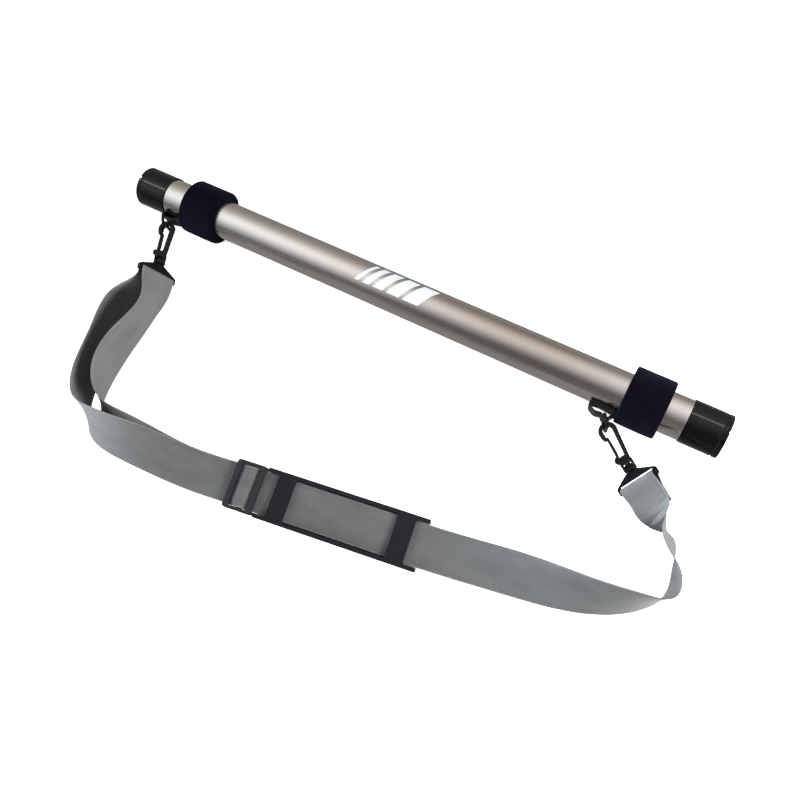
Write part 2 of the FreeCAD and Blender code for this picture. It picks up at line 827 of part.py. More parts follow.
def strand_solid(stations, wide, thick):
    """Flat webbing through the stations, square-edged, with the given section."""
    centres = [centre for centre, _ in stations]
    lengths = [0.0]
    for here, after in zip(centres[:-1], centres[1:]):
        lengths.append(lengths[-1] + (after - here).Length)
    middle = spline(centres, lengths)
    edge = spline([centre + across * (wide / 2) for centre, across in stations], lengths)
    spots = fine_parameters(lengths)
    rails = {key: [] for key in ((1, 1), (1, -1), (-1, -1), (-1, 1))}
    for spot in spots:
        centre = middle.value(spot)
        across = edge.value(spot) - centre
        tangent = Vector(middle.tangent(spot)[0]).normalize()
        level = (across - tangent * across.dot(tangent)).normalize()
        normal = tangent.cross(level)
        for key in rails:
            rails[key].append(centre + level * (key[0] * wide / 2) + normal * (key[1] * thick / 2))
    curves = [spline(points, spots) for points in rails.values()]
    faces = []
    for start, end in zip(lengths[:-1], lengths[1:]):
        spans = [curve.copy() for curve in curves]
        for span in spans:
            span.segment(start, end)
        faces += [ruled_face(spans[i], spans[(i + 1) % 4]) for i in range(4)]
    for end in (0, -1):
        ring = [points[end] for points in rails.values()]
        faces.append(Part.Face(Part.makePolygon(ring + ring[:1])))
    shell = Part.Shell(Part.makeCompound(faces).Faces)
    shell.sewShape()
    solid = Part.Solid(shell)
    if solid.Volume < 0:
        solid.reverse()
    return solid


RIGHT_RISE = [
    free_station(150, -194, -22, -0.17, 0.98, 0.0),
    free_station(203, -184, -18, -0.21, 0.96, 0.19),
    free_station(259, -174, -7, -0.27, 0.72, 0.63),
    free_station(304, -158, -2, -0.14, 0.27, 0.95),
    free_station(323, -141, -1, 0.10, -0.06, 0.99),
    free_station(319, -122, 0, 0.06, -0.10, 0.99),
    free_station(300, -97, 1, -0.16, -0.24, 0.95),
]

LEFT_OUTER = [
    free_station(-268, -119, -2, -0.12, 0.03, 0.99),
    free_station(-266, -163, -3, -0.17, 0.0, 0.98),
    free_station(-258, -205, -3, -0.22, 0.04, 0.97),
    free_station(-243, -232, -1, -0.03, 0.22, 0.97),
    free_station(-221, -242, -1, 0.16, 0.66, 0.73),
    free_station(-183, -242, -13, 0.03, 0.97, 0.24),
]

LEFT_INNER = [
    free_station(-235, -116, 2, -0.04, 0.12, 0.99),
    free_station(-241, -158, 2, -0.22, 0.03, 0.97),
    free_station(-241, -196, -1, -0.11, 0.10, 0.99),
    free_station(-227, -222, -3, 0.20, 0.36, 0.91),
    free_station(-203, -234, -11, 0.26, 0.78, 0.57),
    free_station(-174, -238, -20, 0.08, 0.98, 0.18),
]

def main_strand():
    """Sewn end under the right bar, the run through pad and slider, then the outer bend."""
    sewn, gap = size("sewn_end"), size("sewn_gap")
    stations = [base_station("right", x, -gap) for x in (sewn, sewn - 5, 17, 12)]
    stations += [bar_station("right", turn) for turn in (-80, -120, -180, -240, -280)]
    stations += [base_station("right", x, gap) for x in (12, 17, sewn - 4)]
    stations += list(reversed(RIGHT_RISE))
    stations += [run_station(s) for s in (90, 40, 0, -60, -110, -150)]
    stations += list(reversed(LEFT_OUTER))
    stations += [bar_station("left", turn) for turn in (80, 120, 175)]
    return stations


def return_strand():
    """From the left bar round the inside of the bend, under the run, to the slider's bar."""
    stations = [bar_station("left", turn) for turn in (-175, -120, -80)]
    stations += LEFT_INNER
    middle = size("slider_along")
    half = size("slider_bar") / 2
    low, high = size("return_low"), size("return_high")
    stations += [run_station(s, low) for s in (-150, middle - 14, middle - half, middle + half)]
    wrap = (high - low) / 2
    level = (high + low) / 2
    for turn in (-45, 0, 45):
        angle = math.radians(turn)
        bend = middle + half + wrap * math.cos(angle)
        stations += [run_station(bend, level + wrap * math.sin(angle))]
    stations += [run_station(s, high) for s in (middle + half, middle - half)]
    tail = low + 2 * size("sewn_gap")
    stations += [run_station(s, tail) for s in (middle - 14, middle - 30)]
    return stations


def make_webbing():
    wide, thick = size("webbing_wide"), size("webbing_thick")
    solid_node("webbing_main", strand_solid(main_strand(), wide, thick))
    solid_node("webbing_return", strand_solid(return_strand(), wide, thick))


# ---------------------------------------------------------------- slider and shoulder pad
def run_placement(along_run, height=0.0):
    return Placement(run_point(along_run, 0, height), Rotation(AXIS_Z, size("run_yaw")))


def make_slider():
    """Three-bar slider: two frame bars above the strap and a centre bar below it."""
    body = new_body("slider_body")
    long, wide = "Sizes.slider_length / 2", "Sizes.slider_wide / 2"
    low_long, low_wide = "0 - " + long, "0 - " + wide
    slot, low_slot = "Sizes.webbing_wide / 2 + 0.8", "0 - Sizes.webbing_wide / 2 - 0.8"
    inside = long + " - Sizes.slider_bar"
    low_inside = "0 - " + long + " + Sizes.slider_bar"
    top = size("slider_gap") + size("slider_thick")
    low = size("slider_low")
    middle = (top + low) / 2

    frame = new_sketch(body, "slider_frame", "XY_Plane")
    rectangle(frame, low_long, low_wide, long, wide)
    frame.AttachmentOffset = Placement(Vector(0, 0, middle), Rotation())
    pad_feature(body, "slider_block", frame, "Sizes.slider_gap + Sizes.slider_thick - Sizes.slider_low")

    window = new_sketch(body, "slider_window", "XY_Plane")
    rectangle(window, low_inside, low_slot, inside, slot)
    pocket_feature(body, "slider_window_cut", window, "Sizes.slider_thick * 6")

    tunnel = new_sketch(body, "slider_tunnel", "YZ_Plane")
    gap, floor = "Sizes.slider_gap", "Sizes.slider_low - 1"
    rectangle(tunnel, low_slot, floor, slot, gap)
    pocket_feature(body, "slider_tunnel_cut", tunnel, "Sizes.slider_length * 2")

    centre = new_sketch(body, "slider_centre", "XZ_Plane")
    bar, low_bar = "Sizes.slider_bar / 2", "0 - Sizes.slider_bar / 2"
    bar_top = "Sizes.slider_low + Sizes.centre_thick"
    rectangle(centre, low_bar, "Sizes.slider_low", bar, bar_top)
    pad_feature(body, "slider_centre_bar", centre, "Sizes.webbing_wide + 2.6")

    corner = math.hypot(size("slider_length"), size("slider_wide")) / 2

    def is_corner(edge):
        spot = edge.BoundBox.Center
        return along(edge, AXIS_Z) and math.hypot(spot.x, spot.y) > corner - 0.1

    def is_on_top(edge):
        return abs(edge.BoundBox.ZMax - top) < 0.01 and abs(edge.BoundBox.ZMin - top) < 0.01

    fillet_feature(body, "slider_corners", size("slider_corner"), is_corner)
    fillet_feature(body, "slider_soft", size("slider_soft"), is_on_top)
    keep(body, "slider", run_placement(size("slider_along")))


def make_shoulder_pad():
    """Two side rails joined by a floor plate under the strap and two crossbars over it."""
    body = new_body("pad_body")
    long, wide = "Sizes.pad_length / 2", "Sizes.pad_wide / 2"
    low_long, low_wide = "0 - " + long, "0 - " + wide
    slot, low_slot = "Sizes.pad_slot / 2", "0 - Sizes.pad_slot / 2"
    floor, rail = size("pad_floor"), size("rail_tall")

    block = new_sketch(body, "pad_outline", "XY_Plane")
    rectangle(block, low_long, low_wide, long, wide)
    block.AttachmentOffset = Placement(Vector(0, 0, floor + rail / 2), Rotation())
    pad_feature(body, "pad_block", block, "Sizes.rail_tall")

    channel = new_sketch(body, "pad_channel", "YZ_Plane")
    plate, over = "Sizes.pad_floor + Sizes.plate_thick", "Sizes.bar_low"
    rectangle(channel, low_slot, plate, slot, over)
    pocket_feature(body, "pad_channel_cut", channel, "Sizes.pad_length * 2")

    trim = new_sketch(body, "pad_trim", "YZ_Plane")
    trim_low, trim_high = "Sizes.bar_low + Sizes.bar_thick", "Sizes.pad_floor + Sizes.rail_tall + 1"
    rectangle(trim, low_slot, trim_low, slot, trim_high)
    pocket_feature(body, "pad_trim_cut", trim, "Sizes.pad_length * 2")

    window = new_sketch(body, "pad_window", "XY_Plane")
    inner = long + " - Sizes.bar_inset - Sizes.bar_wide"
    low_inner = "0 - " + long + " + Sizes.bar_inset + Sizes.bar_wide"
    rectangle(window, low_inner, low_slot, inner, slot)
    window.AttachmentOffset = Placement(Vector(0, 0, size("bar_low") + 4), Rotation())
    pocket_feature(body, "pad_window_cut", window, "8.2")

    ends = new_sketch(body, "pad_ends", "XY_Plane")
    edge, low_edge = long + " - Sizes.bar_inset", "0 - " + long + " + Sizes.bar_inset"
    rectangle(ends, edge, low_slot, long + " + 1", slot)
    rectangle(ends, low_long + " - 1", low_slot, low_edge, slot)
    pocket_feature(body, "pad_ends_cut", ends, "Sizes.rail_tall * 3")

    fillet_feature(
        body,
        "pad_soft",
        1.1,
        lambda e: along(e, AXIS_X) and abs(e.BoundBox.Center.y) > size("pad_wide") / 2 - 0.01,
    )
    keep(body, "shoulder_pad", run_placement(size("pad_along")))


def make_stitching():
    """Box stitch with a cross through the sewn end, on both faces of the doubled webbing."""
    thick = size("stitch_thick")
    lift = size("sewn_gap") + size("webbing_thick") / 2 + size("stitch_gap")
    wide = size("stitch_wide")
    near, far = 13.5, size("sewn_end") - 4.0
    half = size("webbing_wide") / 2 - 3
    corners = [(near, -half), (far, -half), (far, half), (near, half)]
    rows = [(corners[i], corners[(i + 1) % 4]) for i in range(4)]
    rows += [(corners[0], corners[2]), (corners[1], corners[3])]
    threads = []
    for start, end in rows:
        a, b = Vector(*start, 0), Vector(*end, 0)
        run = b - a
        row = Part.makeBox(run.Length, wide, thick, Vector(0, -wide / 2, 0))
        row.Placement = Placement(a, Rotation(AXIS_X, run))
        threads.append(row)
    top = threads[0].multiFuse(threads[1:])
    bottom = top.copy()
    top.translate(Vector(size("base_bar_x"), 0, lift))
    bottom.translate(Vector(size("base_bar_x"), 0, -lift - thick))
    solid_node("stitching_right", Part.makeCompound([top, bottom]), base_placement("right"))


def check_and_export():
    doc.recompute()
    for obj in doc.Objects:
        state = [word for word in obj.State if word in ("Invalid", "Error")]
        if state:
            raise RuntimeError(f"{obj.Name} is {state}")
    os.makedirs("parts", exist_ok=True)
    for obj in nodes:
        shape = obj.Shape
        if shape.isNull() or not shape.isValid():
            raise RuntimeError(f"{obj.Label} has no valid shape")
        shape.exportStep(f"parts/{obj.Label}.step")
        print(obj.Label, len(shape.Solids), round(shape.Volume, 1))


make_tube()
for side in ENDS:
    make_collar(side)
    make_plug(side)
    make_gasket(side)
    make_foam_pad(side)
    make_cuff(side)
    make_tab(side)
    make_ring(side)
    make_hook(side)
    make_gate(side)
    make_base(side)
make_webbing()
make_stitching()
make_slider()
make_shoulder_pad()
check_and_export()
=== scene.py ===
"""Looks of a rod carry tube with cuffs, swivel hooks and a webbing shoulder strap.

Metres, +Z up, origin at the middle of the tube, +X along it. The tube, its ends and the hard
plastic pieces are the CAD's own, softened by modifiers; every fabric piece is built here along
the CAD's own edges.
"""

import json
import math

import bmesh
import bpy
import numpy as np
from mathutils import Matrix, Vector


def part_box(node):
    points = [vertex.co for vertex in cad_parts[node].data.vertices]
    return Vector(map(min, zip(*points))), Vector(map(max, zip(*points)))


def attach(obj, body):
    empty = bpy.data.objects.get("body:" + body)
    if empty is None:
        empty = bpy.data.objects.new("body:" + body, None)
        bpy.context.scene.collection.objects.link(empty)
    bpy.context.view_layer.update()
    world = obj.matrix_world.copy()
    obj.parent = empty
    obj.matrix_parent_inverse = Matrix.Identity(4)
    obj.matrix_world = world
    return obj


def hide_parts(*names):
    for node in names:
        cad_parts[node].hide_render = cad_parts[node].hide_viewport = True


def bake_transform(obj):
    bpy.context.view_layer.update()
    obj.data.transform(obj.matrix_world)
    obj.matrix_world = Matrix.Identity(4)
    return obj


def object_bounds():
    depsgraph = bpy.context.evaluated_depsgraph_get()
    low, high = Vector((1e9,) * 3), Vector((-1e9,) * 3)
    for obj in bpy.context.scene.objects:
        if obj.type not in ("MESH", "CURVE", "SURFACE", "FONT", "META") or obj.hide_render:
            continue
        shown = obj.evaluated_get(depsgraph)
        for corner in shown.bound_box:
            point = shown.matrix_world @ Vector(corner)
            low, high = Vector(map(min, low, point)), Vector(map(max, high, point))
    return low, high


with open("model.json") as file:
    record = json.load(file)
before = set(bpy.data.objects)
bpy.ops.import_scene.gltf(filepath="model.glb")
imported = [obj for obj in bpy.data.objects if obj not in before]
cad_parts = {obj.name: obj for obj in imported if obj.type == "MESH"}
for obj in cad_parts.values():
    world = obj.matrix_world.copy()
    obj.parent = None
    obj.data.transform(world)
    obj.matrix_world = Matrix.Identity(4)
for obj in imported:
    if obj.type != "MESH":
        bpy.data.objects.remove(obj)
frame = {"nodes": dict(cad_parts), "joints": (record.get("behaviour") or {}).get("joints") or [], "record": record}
cad_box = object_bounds()

MM = 0.001
SIDES = ("left", "right")
AXIS_X = Vector((1, 0, 0))
AXIS_Z = Vector((0, 0, 1))

# The strap's webbing.
WEB_WIDE = 40.0 * MM
WEB_THICK = 1.3 * MM
SELVAGE_BEAD = 1.1 * MM

# The long strand inside the slider: it rises over the centre bar between two frame bars.
FRAME_BAR = 6.0 * MM
HUMP_TALL = 3.0 * MM
HUMP_WIDE = 40.8 * MM
HUMP_POWER = 1.4
HUMP_TUCK = 1.5 * MM
HUMP_LEVEL = 1.25 * MM  # over the pad's middle

# Printed bars: the first starts at BAR_START along the tube, and each is wider than the last.
INK_THICK = 0.06 * MM
BAR_START = -50 * MM
BAR_GAP = 4.5 * MM
BAR_SLANT = 13 * MM
BAR_WIDTHS = [wide * MM for wide in (4, 7, 10, 13, 16)]
BAR_ARC = (math.radians(-24), math.radians(44))

# Cuffs: a padded strap wound from CUFF_START, which climbs onto itself from CUFF_CLIMB to CUFF_LAP
# and ends at CUFF_TAIL, with a seam in a groove near each edge.
CUFF_THICK = 3.7 * MM
CUFF_STEP = 4.3 * MM
CUFF_CLEAR = 0.2 * MM
CUFF_INSET = 0.2 * MM
CUFF_SEAM = 3.2 * MM
CUFF_GROOVE = 0.12 * MM
CUFF_START, CUFF_CLIMB, CUFF_LAP, CUFF_TAIL = (math.radians(a) for a in (-12, 288, 348, 643))
SEAM_END = CUFF_TAIL - 0.06

# Hook tape, under the cuff's outer end and narrower than it.
TAPE_THICK = 0.5 * MM
TAPE_INSET = 1.8 * MM
TAPE_LEVEL = -0.35 * MM
TAPE_START, TAPE_END = CUFF_TAIL - math.radians(65), CUFF_TAIL - 0.05

# Tabs: a folded band whose two layers lie TAB_GAP apart under the cuff, with the ring in its fold.
TAB_THICK = 1.2 * MM
TAB_GAP = 1.75 * MM
TAB_BEAD = 0.7 * MM
RING_WIRE = 3.2 * MM
RING_CLEAR = 0.15 * MM
TUBE_CLEAR = 0.05 * MM

# The sewn end's seam, inside its CAD solid.
SEAM_INSET = 0.4 * MM
SEAM_SINK = 0.3 * MM


# ---------------------------------------------------------------- sizes taken from the frame
def centre_of(node):
    low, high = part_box(node)
    return (low + high) / 2


def extent_of(node):
    low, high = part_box(node)
    return high - low


def joint(name):
    return next(j for j in frame["joints"] if j["name"] == name)


TUBE_RADIUS = extent_of("tube").z / 2
FLOOR_Z = cad_box[0].z - 0.1 * MM
RUN_DIRECTION = Vector(joint("pad_slide")["axis"]).normalized()
RUN_ACROSS = AXIS_Z.cross(RUN_DIRECTION)


def extent_along(node):
    """A node's length along the strap's straight run."""
    points = [v.co.dot(RUN_DIRECTION) for v in frame["nodes"][node].data.vertices]
    return max(points) - min(points)


# ---------------------------------------------------------------- node materials
class Nodes:
    """A node tree, built up by short calls that each return a socket."""

    def __init__(self, tree):
        self.tree = tree

    def node(self, kind, inputs=None, **settings):
        node = self.tree.nodes.new(kind)
        for key, value in settings.items():
            setattr(node, key, value)
        for key, value in (inputs or {}).items():
            self.put(node.inputs[key], value)
        return node

    def put(self, socket, value):
        if isinstance(value, bpy.types.NodeSocket):
            self.tree.links.new(value, socket)
        else:
            socket.default_value = value

    def place(self, kind="Object", scale=(1, 1, 1), turn=(0, 0, 0)):
        source = self.node("ShaderNodeTexCoord").outputs[kind]
        mapping = self.node("ShaderNodeMapping", {"Vector": source, "Scale": scale, "Rotation": turn})
        return mapping.outputs["Vector"]

    def noise(self, where, scale, detail=3.0, rough=0.5):
        inputs = {"Vector": where, "Scale": scale, "Detail": detail, "Roughness": rough}
        return self.node("ShaderNodeTexNoise", inputs).outputs["Fac"]

    def cells(self, where, scale):
        inputs = {"Vector": where, "Scale": scale}
        return self.node("ShaderNodeTexVoronoi", inputs).outputs["Distance"]

    def math(self, operation, first, second=0.0):
        node = self.node("ShaderNodeMath", operation=operation)
        self.put(node.inputs[0], first)
        self.put(node.inputs[1], second)
        return node.outputs[0]

    def split(self, where):
        return self.node("ShaderNodeSeparateXYZ", {"Vector": where}).outputs

    def clamp(self, value):
        return self.node("ShaderNodeClamp", {"Value": value}).outputs["Result"]

    def ramp(self, value, low, high, to_low=0.0, to_high=1.0):
        """Maps low..high to to_low..to_high and holds it there beyond them."""
        inputs = {"Value": value, "From Min": low, "From Max": high}
        inputs.update({"To Min": to_low, "To Max": to_high})
        return self.node("ShaderNodeMapRange", inputs).outputs["Result"]

    def blend(self, share, first, second, how="MIX"):
        node = self.node("ShaderNodeMix", data_type="RGBA", blend_type=how)
        self.put(node.inputs["Factor"], share)
        self.put(node.inputs["A"], (*first, 1) if isinstance(first, tuple) else first)
        self.put(node.inputs["B"], (*second, 1) if isinstance(second, tuple) else second)
        return node.outputs["Result"]

    def bump(self, height, distance, strength=1.0, over=None):
        inputs = {"Height": height, "Distance": distance, "Strength": strength}
        if over is not None:
            inputs["Normal"] = over
        return self.node("ShaderNodeBump", inputs).outputs["Normal"]

    def soft_edges(self, radius):
        """Normal that rounds hard edges by a radius in metres."""
        return self.node("ShaderNodeBevel", {"Radius": radius}, samples=6).outputs["Normal"]

    def ray(self, kind):
        """1 for rays of one kind, such as Is Glossy Ray."""
        return self.node("ShaderNodeLightPath").outputs[kind]

    def stops(self, value, colours):
        """Colour ramp through (place, colour) pairs."""
        node = self.node("ShaderNodeValToRGB", {"Fac": value})
        ramp = node.color_ramp
        ramp.interpolation = "B_SPLINE"
        while len(ramp.elements) < len(colours):
            ramp.elements.new(1.0)
        for element, (place, colour) in zip(ramp.elements, colours):
            element.position = place
            element.color = (*colour, 1)
        return node.outputs["Color"]

    def mix_shader(self, share, first, second):
        node = self.node("ShaderNodeMixShader", {"Fac": share})
        self.put(node.inputs[1], first)
        self.put(node.inputs[2], second)
        return node.outputs[0]


class Shader(Nodes):
    """A material of one Principled surface."""

    def __init__(self, name):
        self.material = bpy.data.materials.new(name)
        self.material.use_nodes = True
        super().__init__(self.material.node_tree)
        self.surface = self.tree.nodes["Principled BSDF"]

    def set(self, **values):
        """Sets Principled inputs; an underscore stands for a space."""
        for key, value in values.items():
            self.put(self.surface.inputs[key.replace("_", " ")], value)


def anodised_tube():
    """Champagne anodised aluminium: fine lengthwise drawing lines under a clear seal."""
    look = Shader("tube_anodised")
    where = look.place(scale=(6, 900, 900))
    lines = look.noise(where, 1.0, 4.0, 0.6)
    broad = look.noise(look.place(scale=(8, 40, 40)), 1.0, 2.0)
    warm = look.blend(broad, (0.63, 0.59, 0.55), (0.67, 0.635, 0.595))
    colour = look.blend(look.ramp(lines, 0.3, 0.7, 0.0, 0.35), warm, (0.71, 0.68, 0.65))
    specks = look.noise(look.place(), 2600.0, 1.0)
    relief = look.math("ADD", lines, look.math("MULTIPLY", specks, 0.4))
    look.set(
        Base_Color=colour,
        Metallic=1.0,
        Roughness=look.ramp(lines, 0.25, 0.75, 0.20, 0.29),
        Coat_Weight=0.2,
        Coat_Roughness=0.05,
        Normal=look.bump(relief, 0.0015 * MM, 0.5),
    )
    return look.material


def gloss_black(name, colour, rough):
    """Black anodised metal: deep gloss with faint turning lines, settled dust and softened edges."""
    look = Shader(name)
    turning = look.noise(look.place(scale=(3000, 3, 3)), 1.0, 2.0)
    haze = look.noise(look.place(), 90.0, 5.0, 0.6)
    dust = look.noise(look.place(), 1400.0, 2.0)
    look.set(
        Base_Color=look.blend(look.ramp(dust, 0.62, 0.8), colour, (0.02, 0.02, 0.022)),
        Roughness=look.ramp(haze, 0.3, 0.75, rough, rough + 0.14),
        Specular_IOR_Level=0.18,
        Coat_Weight=0.2,
        Coat_Roughness=0.05,
        Normal=look.bump(turning, 0.003 * MM, 0.5, look.soft_edges(0.25 * MM)),
    )
    return look.material


def moulded(name, colour, rough, grain, grain_scale, edge=0.3, gloss=0.2):
    """Moulded plastic or rubber: pebbled grain, uneven sheen and rubbed high spots.

    grain is the pebbles' depth and edge the radius of softened edges, both in millimetres.
    """
    look = Shader(name)
    where = look.place()
    pebble = look.cells(where, grain_scale)
    cloud = look.noise(where, 120.0, 4.0, 0.6)
    rub = look.noise(where, 420.0, 6.0, 0.7)
    point = look.node("ShaderNodeNewGeometry").outputs["Pointiness"]
    rubbed = look.math("MULTIPLY", look.ramp(point, 0.53, 0.62), look.ramp(rub, 0.35, 0.7))
    base = look.blend(look.ramp(cloud, 0.3, 0.7), colour, tuple(c * 1.35 for c in colour))
    look.set(
        Base_Color=look.blend(look.math("MULTIPLY", rubbed, 0.6), base, (0.03, 0.03, 0.035)),
        Roughness=look.ramp(cloud, 0.3, 0.7, rough - 0.06, rough + 0.08),
        Specular_IOR_Level=gloss,
        Normal=look.bump(pebble, grain * MM, 0.5, look.soft_edges(edge * MM)),
    )
    return look.material


def woven(name, dark, light, rib, pick, deep, edge_at, sheen):
    """Webbing: columns of slanting picks like a fine herringbone, with a pale selvage.

    The UV map holds metres: U along the webbing, V across it from its middle. The other sizes are
    in millimetres: a column's width, a pick's length, the relief's depth and the selvage's place.
    """
    rib, pick, deep, edge_at = (size * MM for size in (rib, pick, deep, edge_at))
    look = Shader(name)
    uv = look.split(look.place("UV"))
    along, across = uv["X"], uv["Y"]
    column = look.math("PINGPONG", across, rib)
    slant = look.math("ADD", along, look.math("MULTIPLY", column, 0.8))
    wave = look.math("SINE", look.math("MULTIPLY", slant, 2 * math.pi / pick))
    valley = look.math("ABSOLUTE", look.math("SINE", look.math("MULTIPLY", across, math.pi / rib)))
    weave = look.math("ADD", look.math("MULTIPLY", wave, 0.35), look.math("POWER", valley, 0.5))
    lint = look.noise(look.place("UV"), 2600.0, 3.0, 0.7)
    cloud = look.noise(look.place("UV", scale=(1, 3, 1)), 22.0, 4.0, 0.6)
    selvage = look.ramp(look.math("ABSOLUTE", across), edge_at, edge_at + 0.7 * MM)
    tone = look.math("ADD", look.ramp(weave, -0.3, 1.3, 0.0, 0.75), look.ramp(lint, 0.3, 0.7, -0.2, 0.3))
    tone = look.math("ADD", tone, look.ramp(cloud, 0.3, 0.7, -0.12, 0.12))
    tone = look.math("ADD", tone, look.math("MULTIPLY", selvage, 0.35))
    look.set(
        Base_Color=look.blend(look.clamp(tone), dark, light),
        Roughness=look.ramp(lint, 0.2, 0.8, 0.42, 0.62),
        Sheen_Weight=sheen,
        Sheen_Roughness=0.4,
        Specular_IOR_Level=0.2,
        Normal=look.bump(look.math("ADD", weave, look.math("MULTIPLY", lint, 0.5)), deep, 0.8),
    )
    return look.material


def loop_fabric(name, colour, fuzz):
    """Brushed loop fabric: short matted fibres with a soft sheen at glancing angles."""
    look = Shader(name)
    where = look.place()
    fibre = look.noise(where, 3400.0, 5.0, 0.8)
    clump = look.noise(where, 650.0, 4.0, 0.65)
    cloud = look.noise(where, 60.0, 3.0)
    lint = look.ramp(look.noise(look.place(scale=(1, 2.5, 1)), 1500.0, 2.0), 0.72, 0.8)
    height = look.math("ADD", fibre, look.math("MULTIPLY", clump, 1.4))
    tone = look.math("ADD", look.ramp(fibre, 0.3, 0.75), look.ramp(cloud, 0.3, 0.7, -0.2, 0.2))
    base = look.blend(look.clamp(tone), colour, fuzz)
    look.set(
        Base_Color=look.blend(look.math("MULTIPLY", lint, 0.3), base, (0.03, 0.03, 0.05)),
        Roughness=0.95,
        Specular_IOR_Level=0.05,
        Sheen_Weight=0.05,
        Sheen_Roughness=0.5,
        Sheen_Tint=(0.4, 0.42, 0.7, 1),
        Normal=look.bump(height, 0.22 * MM, 0.85),
    )
    return look.material


def foam_rubber(name, colour):
    """Closed-cell foam or plain rubber with fine pits."""
    look = Shader(name)
    where = look.place()
    pits = look.cells(where, 1500.0)
    cloud = look.noise(where, 260.0, 4.0)
    look.set(
        Base_Color=look.blend(cloud, colour, tuple(c * 1.6 for c in colour)),
        Roughness=look.ramp(cloud, 0.3, 0.7, 0.7, 0.9),
        Normal=look.bump(pits, 0.1 * MM, 0.6),
    )
    return look.material


def printed_ink(name):
    """White screen print, slightly chalky."""
    look = Shader(name)
    where = look.place()
    chalk = look.noise(where, 900.0, 4.0, 0.7)
    look.set(
        Base_Color=look.blend(look.ramp(chalk, 0.3, 0.7), (0.74, 0.75, 0.80), (0.84, 0.85, 0.90)),
        Roughness=look.ramp(chalk, 0.3, 0.7, 0.35, 0.55),
        Normal=look.bump(chalk, 0.01 * MM, 0.5),
    )
    return look.material


def sewing_thread(name, colour):
    """Twisted bonded thread."""
    look = Shader(name)
    twist = look.noise(look.place(scale=(3000, 3000, 3000), turn=(0.5, 0.4, 0.6)), 1.0, 2.0)
    look.set(
        Base_Color=look.blend(twist, colour, tuple(min(1.0, c * 1.5) for c in colour)),
        Roughness=look.ramp(twist, 0.3, 0.7, 0.4, 0.6),
        Sheen_Weight=0.2,
        Normal=look.bump(twist, 0.05 * MM, 0.7),
    )
    return look.material


# The finish of each of the record's material slots.
LOOKS = {
    "tube_aluminium": anodised_tube(),
    "end_black": gloss_black("end_anodised", (0.0015, 0.0013, 0.0020), rough=0.12),
    "seal_rubber": foam_rubber("seal_rubber_look", (0.02, 0.02, 0.02)),
    "foam": foam_rubber("foam_look", (0.05, 0.05, 0.055)),
    "cuff_fabric": loop_fabric("cuff_loop_fabric", (0.0012, 0.0012, 0.003), (0.0045, 0.0045, 0.010)),
    "hook_tape": loop_fabric("hook_tape_look", (0.003, 0.003, 0.004), (0.012, 0.012, 0.014)),
    "tab_webbing": woven(
        "tab_weave",
        dark=(0.003, 0.003, 0.004),
        light=(0.013, 0.013, 0.017),
        rib=0.9,
        pick=0.7,
        deep=0.07,
        edge_at=8.4,
        sheen=0.05,
    ),
    "webbing_grey": woven(
        "webbing_weave",
        dark=(0.062, 0.0625, 0.063),
        light=(0.205, 0.208, 0.21),
        rib=1.25,
        pick=0.9,
        deep=0.10,
        edge_at=18.4,
        sheen=0.25,
    ),
    "thread": sewing_thread("seam_thread", (0.17, 0.175, 0.18)),
    "buckle_black": moulded("buckle_plastic", (0.0035, 0.0036, 0.0050), 0.24, 0.02, 2600.0),
    "gate_black": moulded("gate_plastic", (0.0045, 0.0046, 0.0060), 0.28, 0.02, 2600.0),
    "slider_slate": moulded(
        "slider_plastic", (0.0120, 0.0122, 0.0150), 0.36, 0.03, 2200.0, gloss=0.36
    ),
    "pad_charcoal": moulded(
        "pad_rubber", (0.0120, 0.0108, 0.0140), 0.50, 0.05, 1500.0, edge=0.5, gloss=0.14
    ),
}

# Looks of their own, for pieces that share a slot with a larger piece.
CUFF_THREAD = sewing_thread("cuff_seam_thread", (0.0025, 0.0025, 0.0055))
WHITE_INK = printed_ink("printed_ink")


def finish_with(piece, slot, look=None):
    """Gives a piece the look of one of the record's material slots, or its own look."""
    piece.data.materials.clear()
    piece.data.materials.append(look or LOOKS[slot])


def dress_cad_node(node, slot):
    """Gives a CAD node the look of its material slot."""
    piece = frame["nodes"][node]
    if not piece.data.materials:
        piece.data.materials.append(LOOKS[slot])
    for place in piece.material_slots:
        place.link = "OBJECT"
        place.material = LOOKS[slot]


# ---------------------------------------------------------------- CAD pieces that are kept
def mould(node, voxel, rounds):
    """Rounds a CAD node's edges as a mould would, with modifiers only; voxel is in millimetres."""
    piece = frame["nodes"][node]
    weld = piece.modifiers.new("weld", "WELD")
    weld.merge_threshold = 0.001 * MM
    grid = piece.modifiers.new("skin", "REMESH")
    grid.mode = "VOXEL"
    grid.voxel_size = voxel * MM
    grid.use_smooth_shade = True
    melt = piece.modifiers.new("soft_edges", "SMOOTH")
    melt.iterations = rounds
    melt.factor = 0.5


for row in frame["record"]["subparts"]:
    dress_cad_node(row["node"], row["material_slot"])

for side in SIDES:
    mould(f"ring_{side}", 0.30, 2)
    mould(f"hook_{side}", 0.28, 5)
    mould(f"gate_{side}", 0.25, 4)
    mould(f"swivel_base_{side}", 0.32, 5)
mould("slider", 0.35, 5)
mould("shoulder_pad", 0.45, 5)


# ---------------------------------------------------------------- swept pieces
def mesh_piece(name, points, faces, flat=None):
    """Mesh object with smooth faces; flat holds (u, v) for each point."""
    data = bpy.data.meshes.new(name)
    data.from_pydata([tuple(p) for p in points], [], faces)
    data.update()
    if flat is not None:
        layer = data.uv_layers.new(name="UVMap")
        for loop in data.loops:
            layer.data[loop.index].uv = flat[loop.vertex_index]
    for polygon in data.polygons:
        polygon.use_smooth = True
    piece = bpy.data.objects.new(name, data)
    bpy.context.scene.collection.objects.link(piece)
    return piece


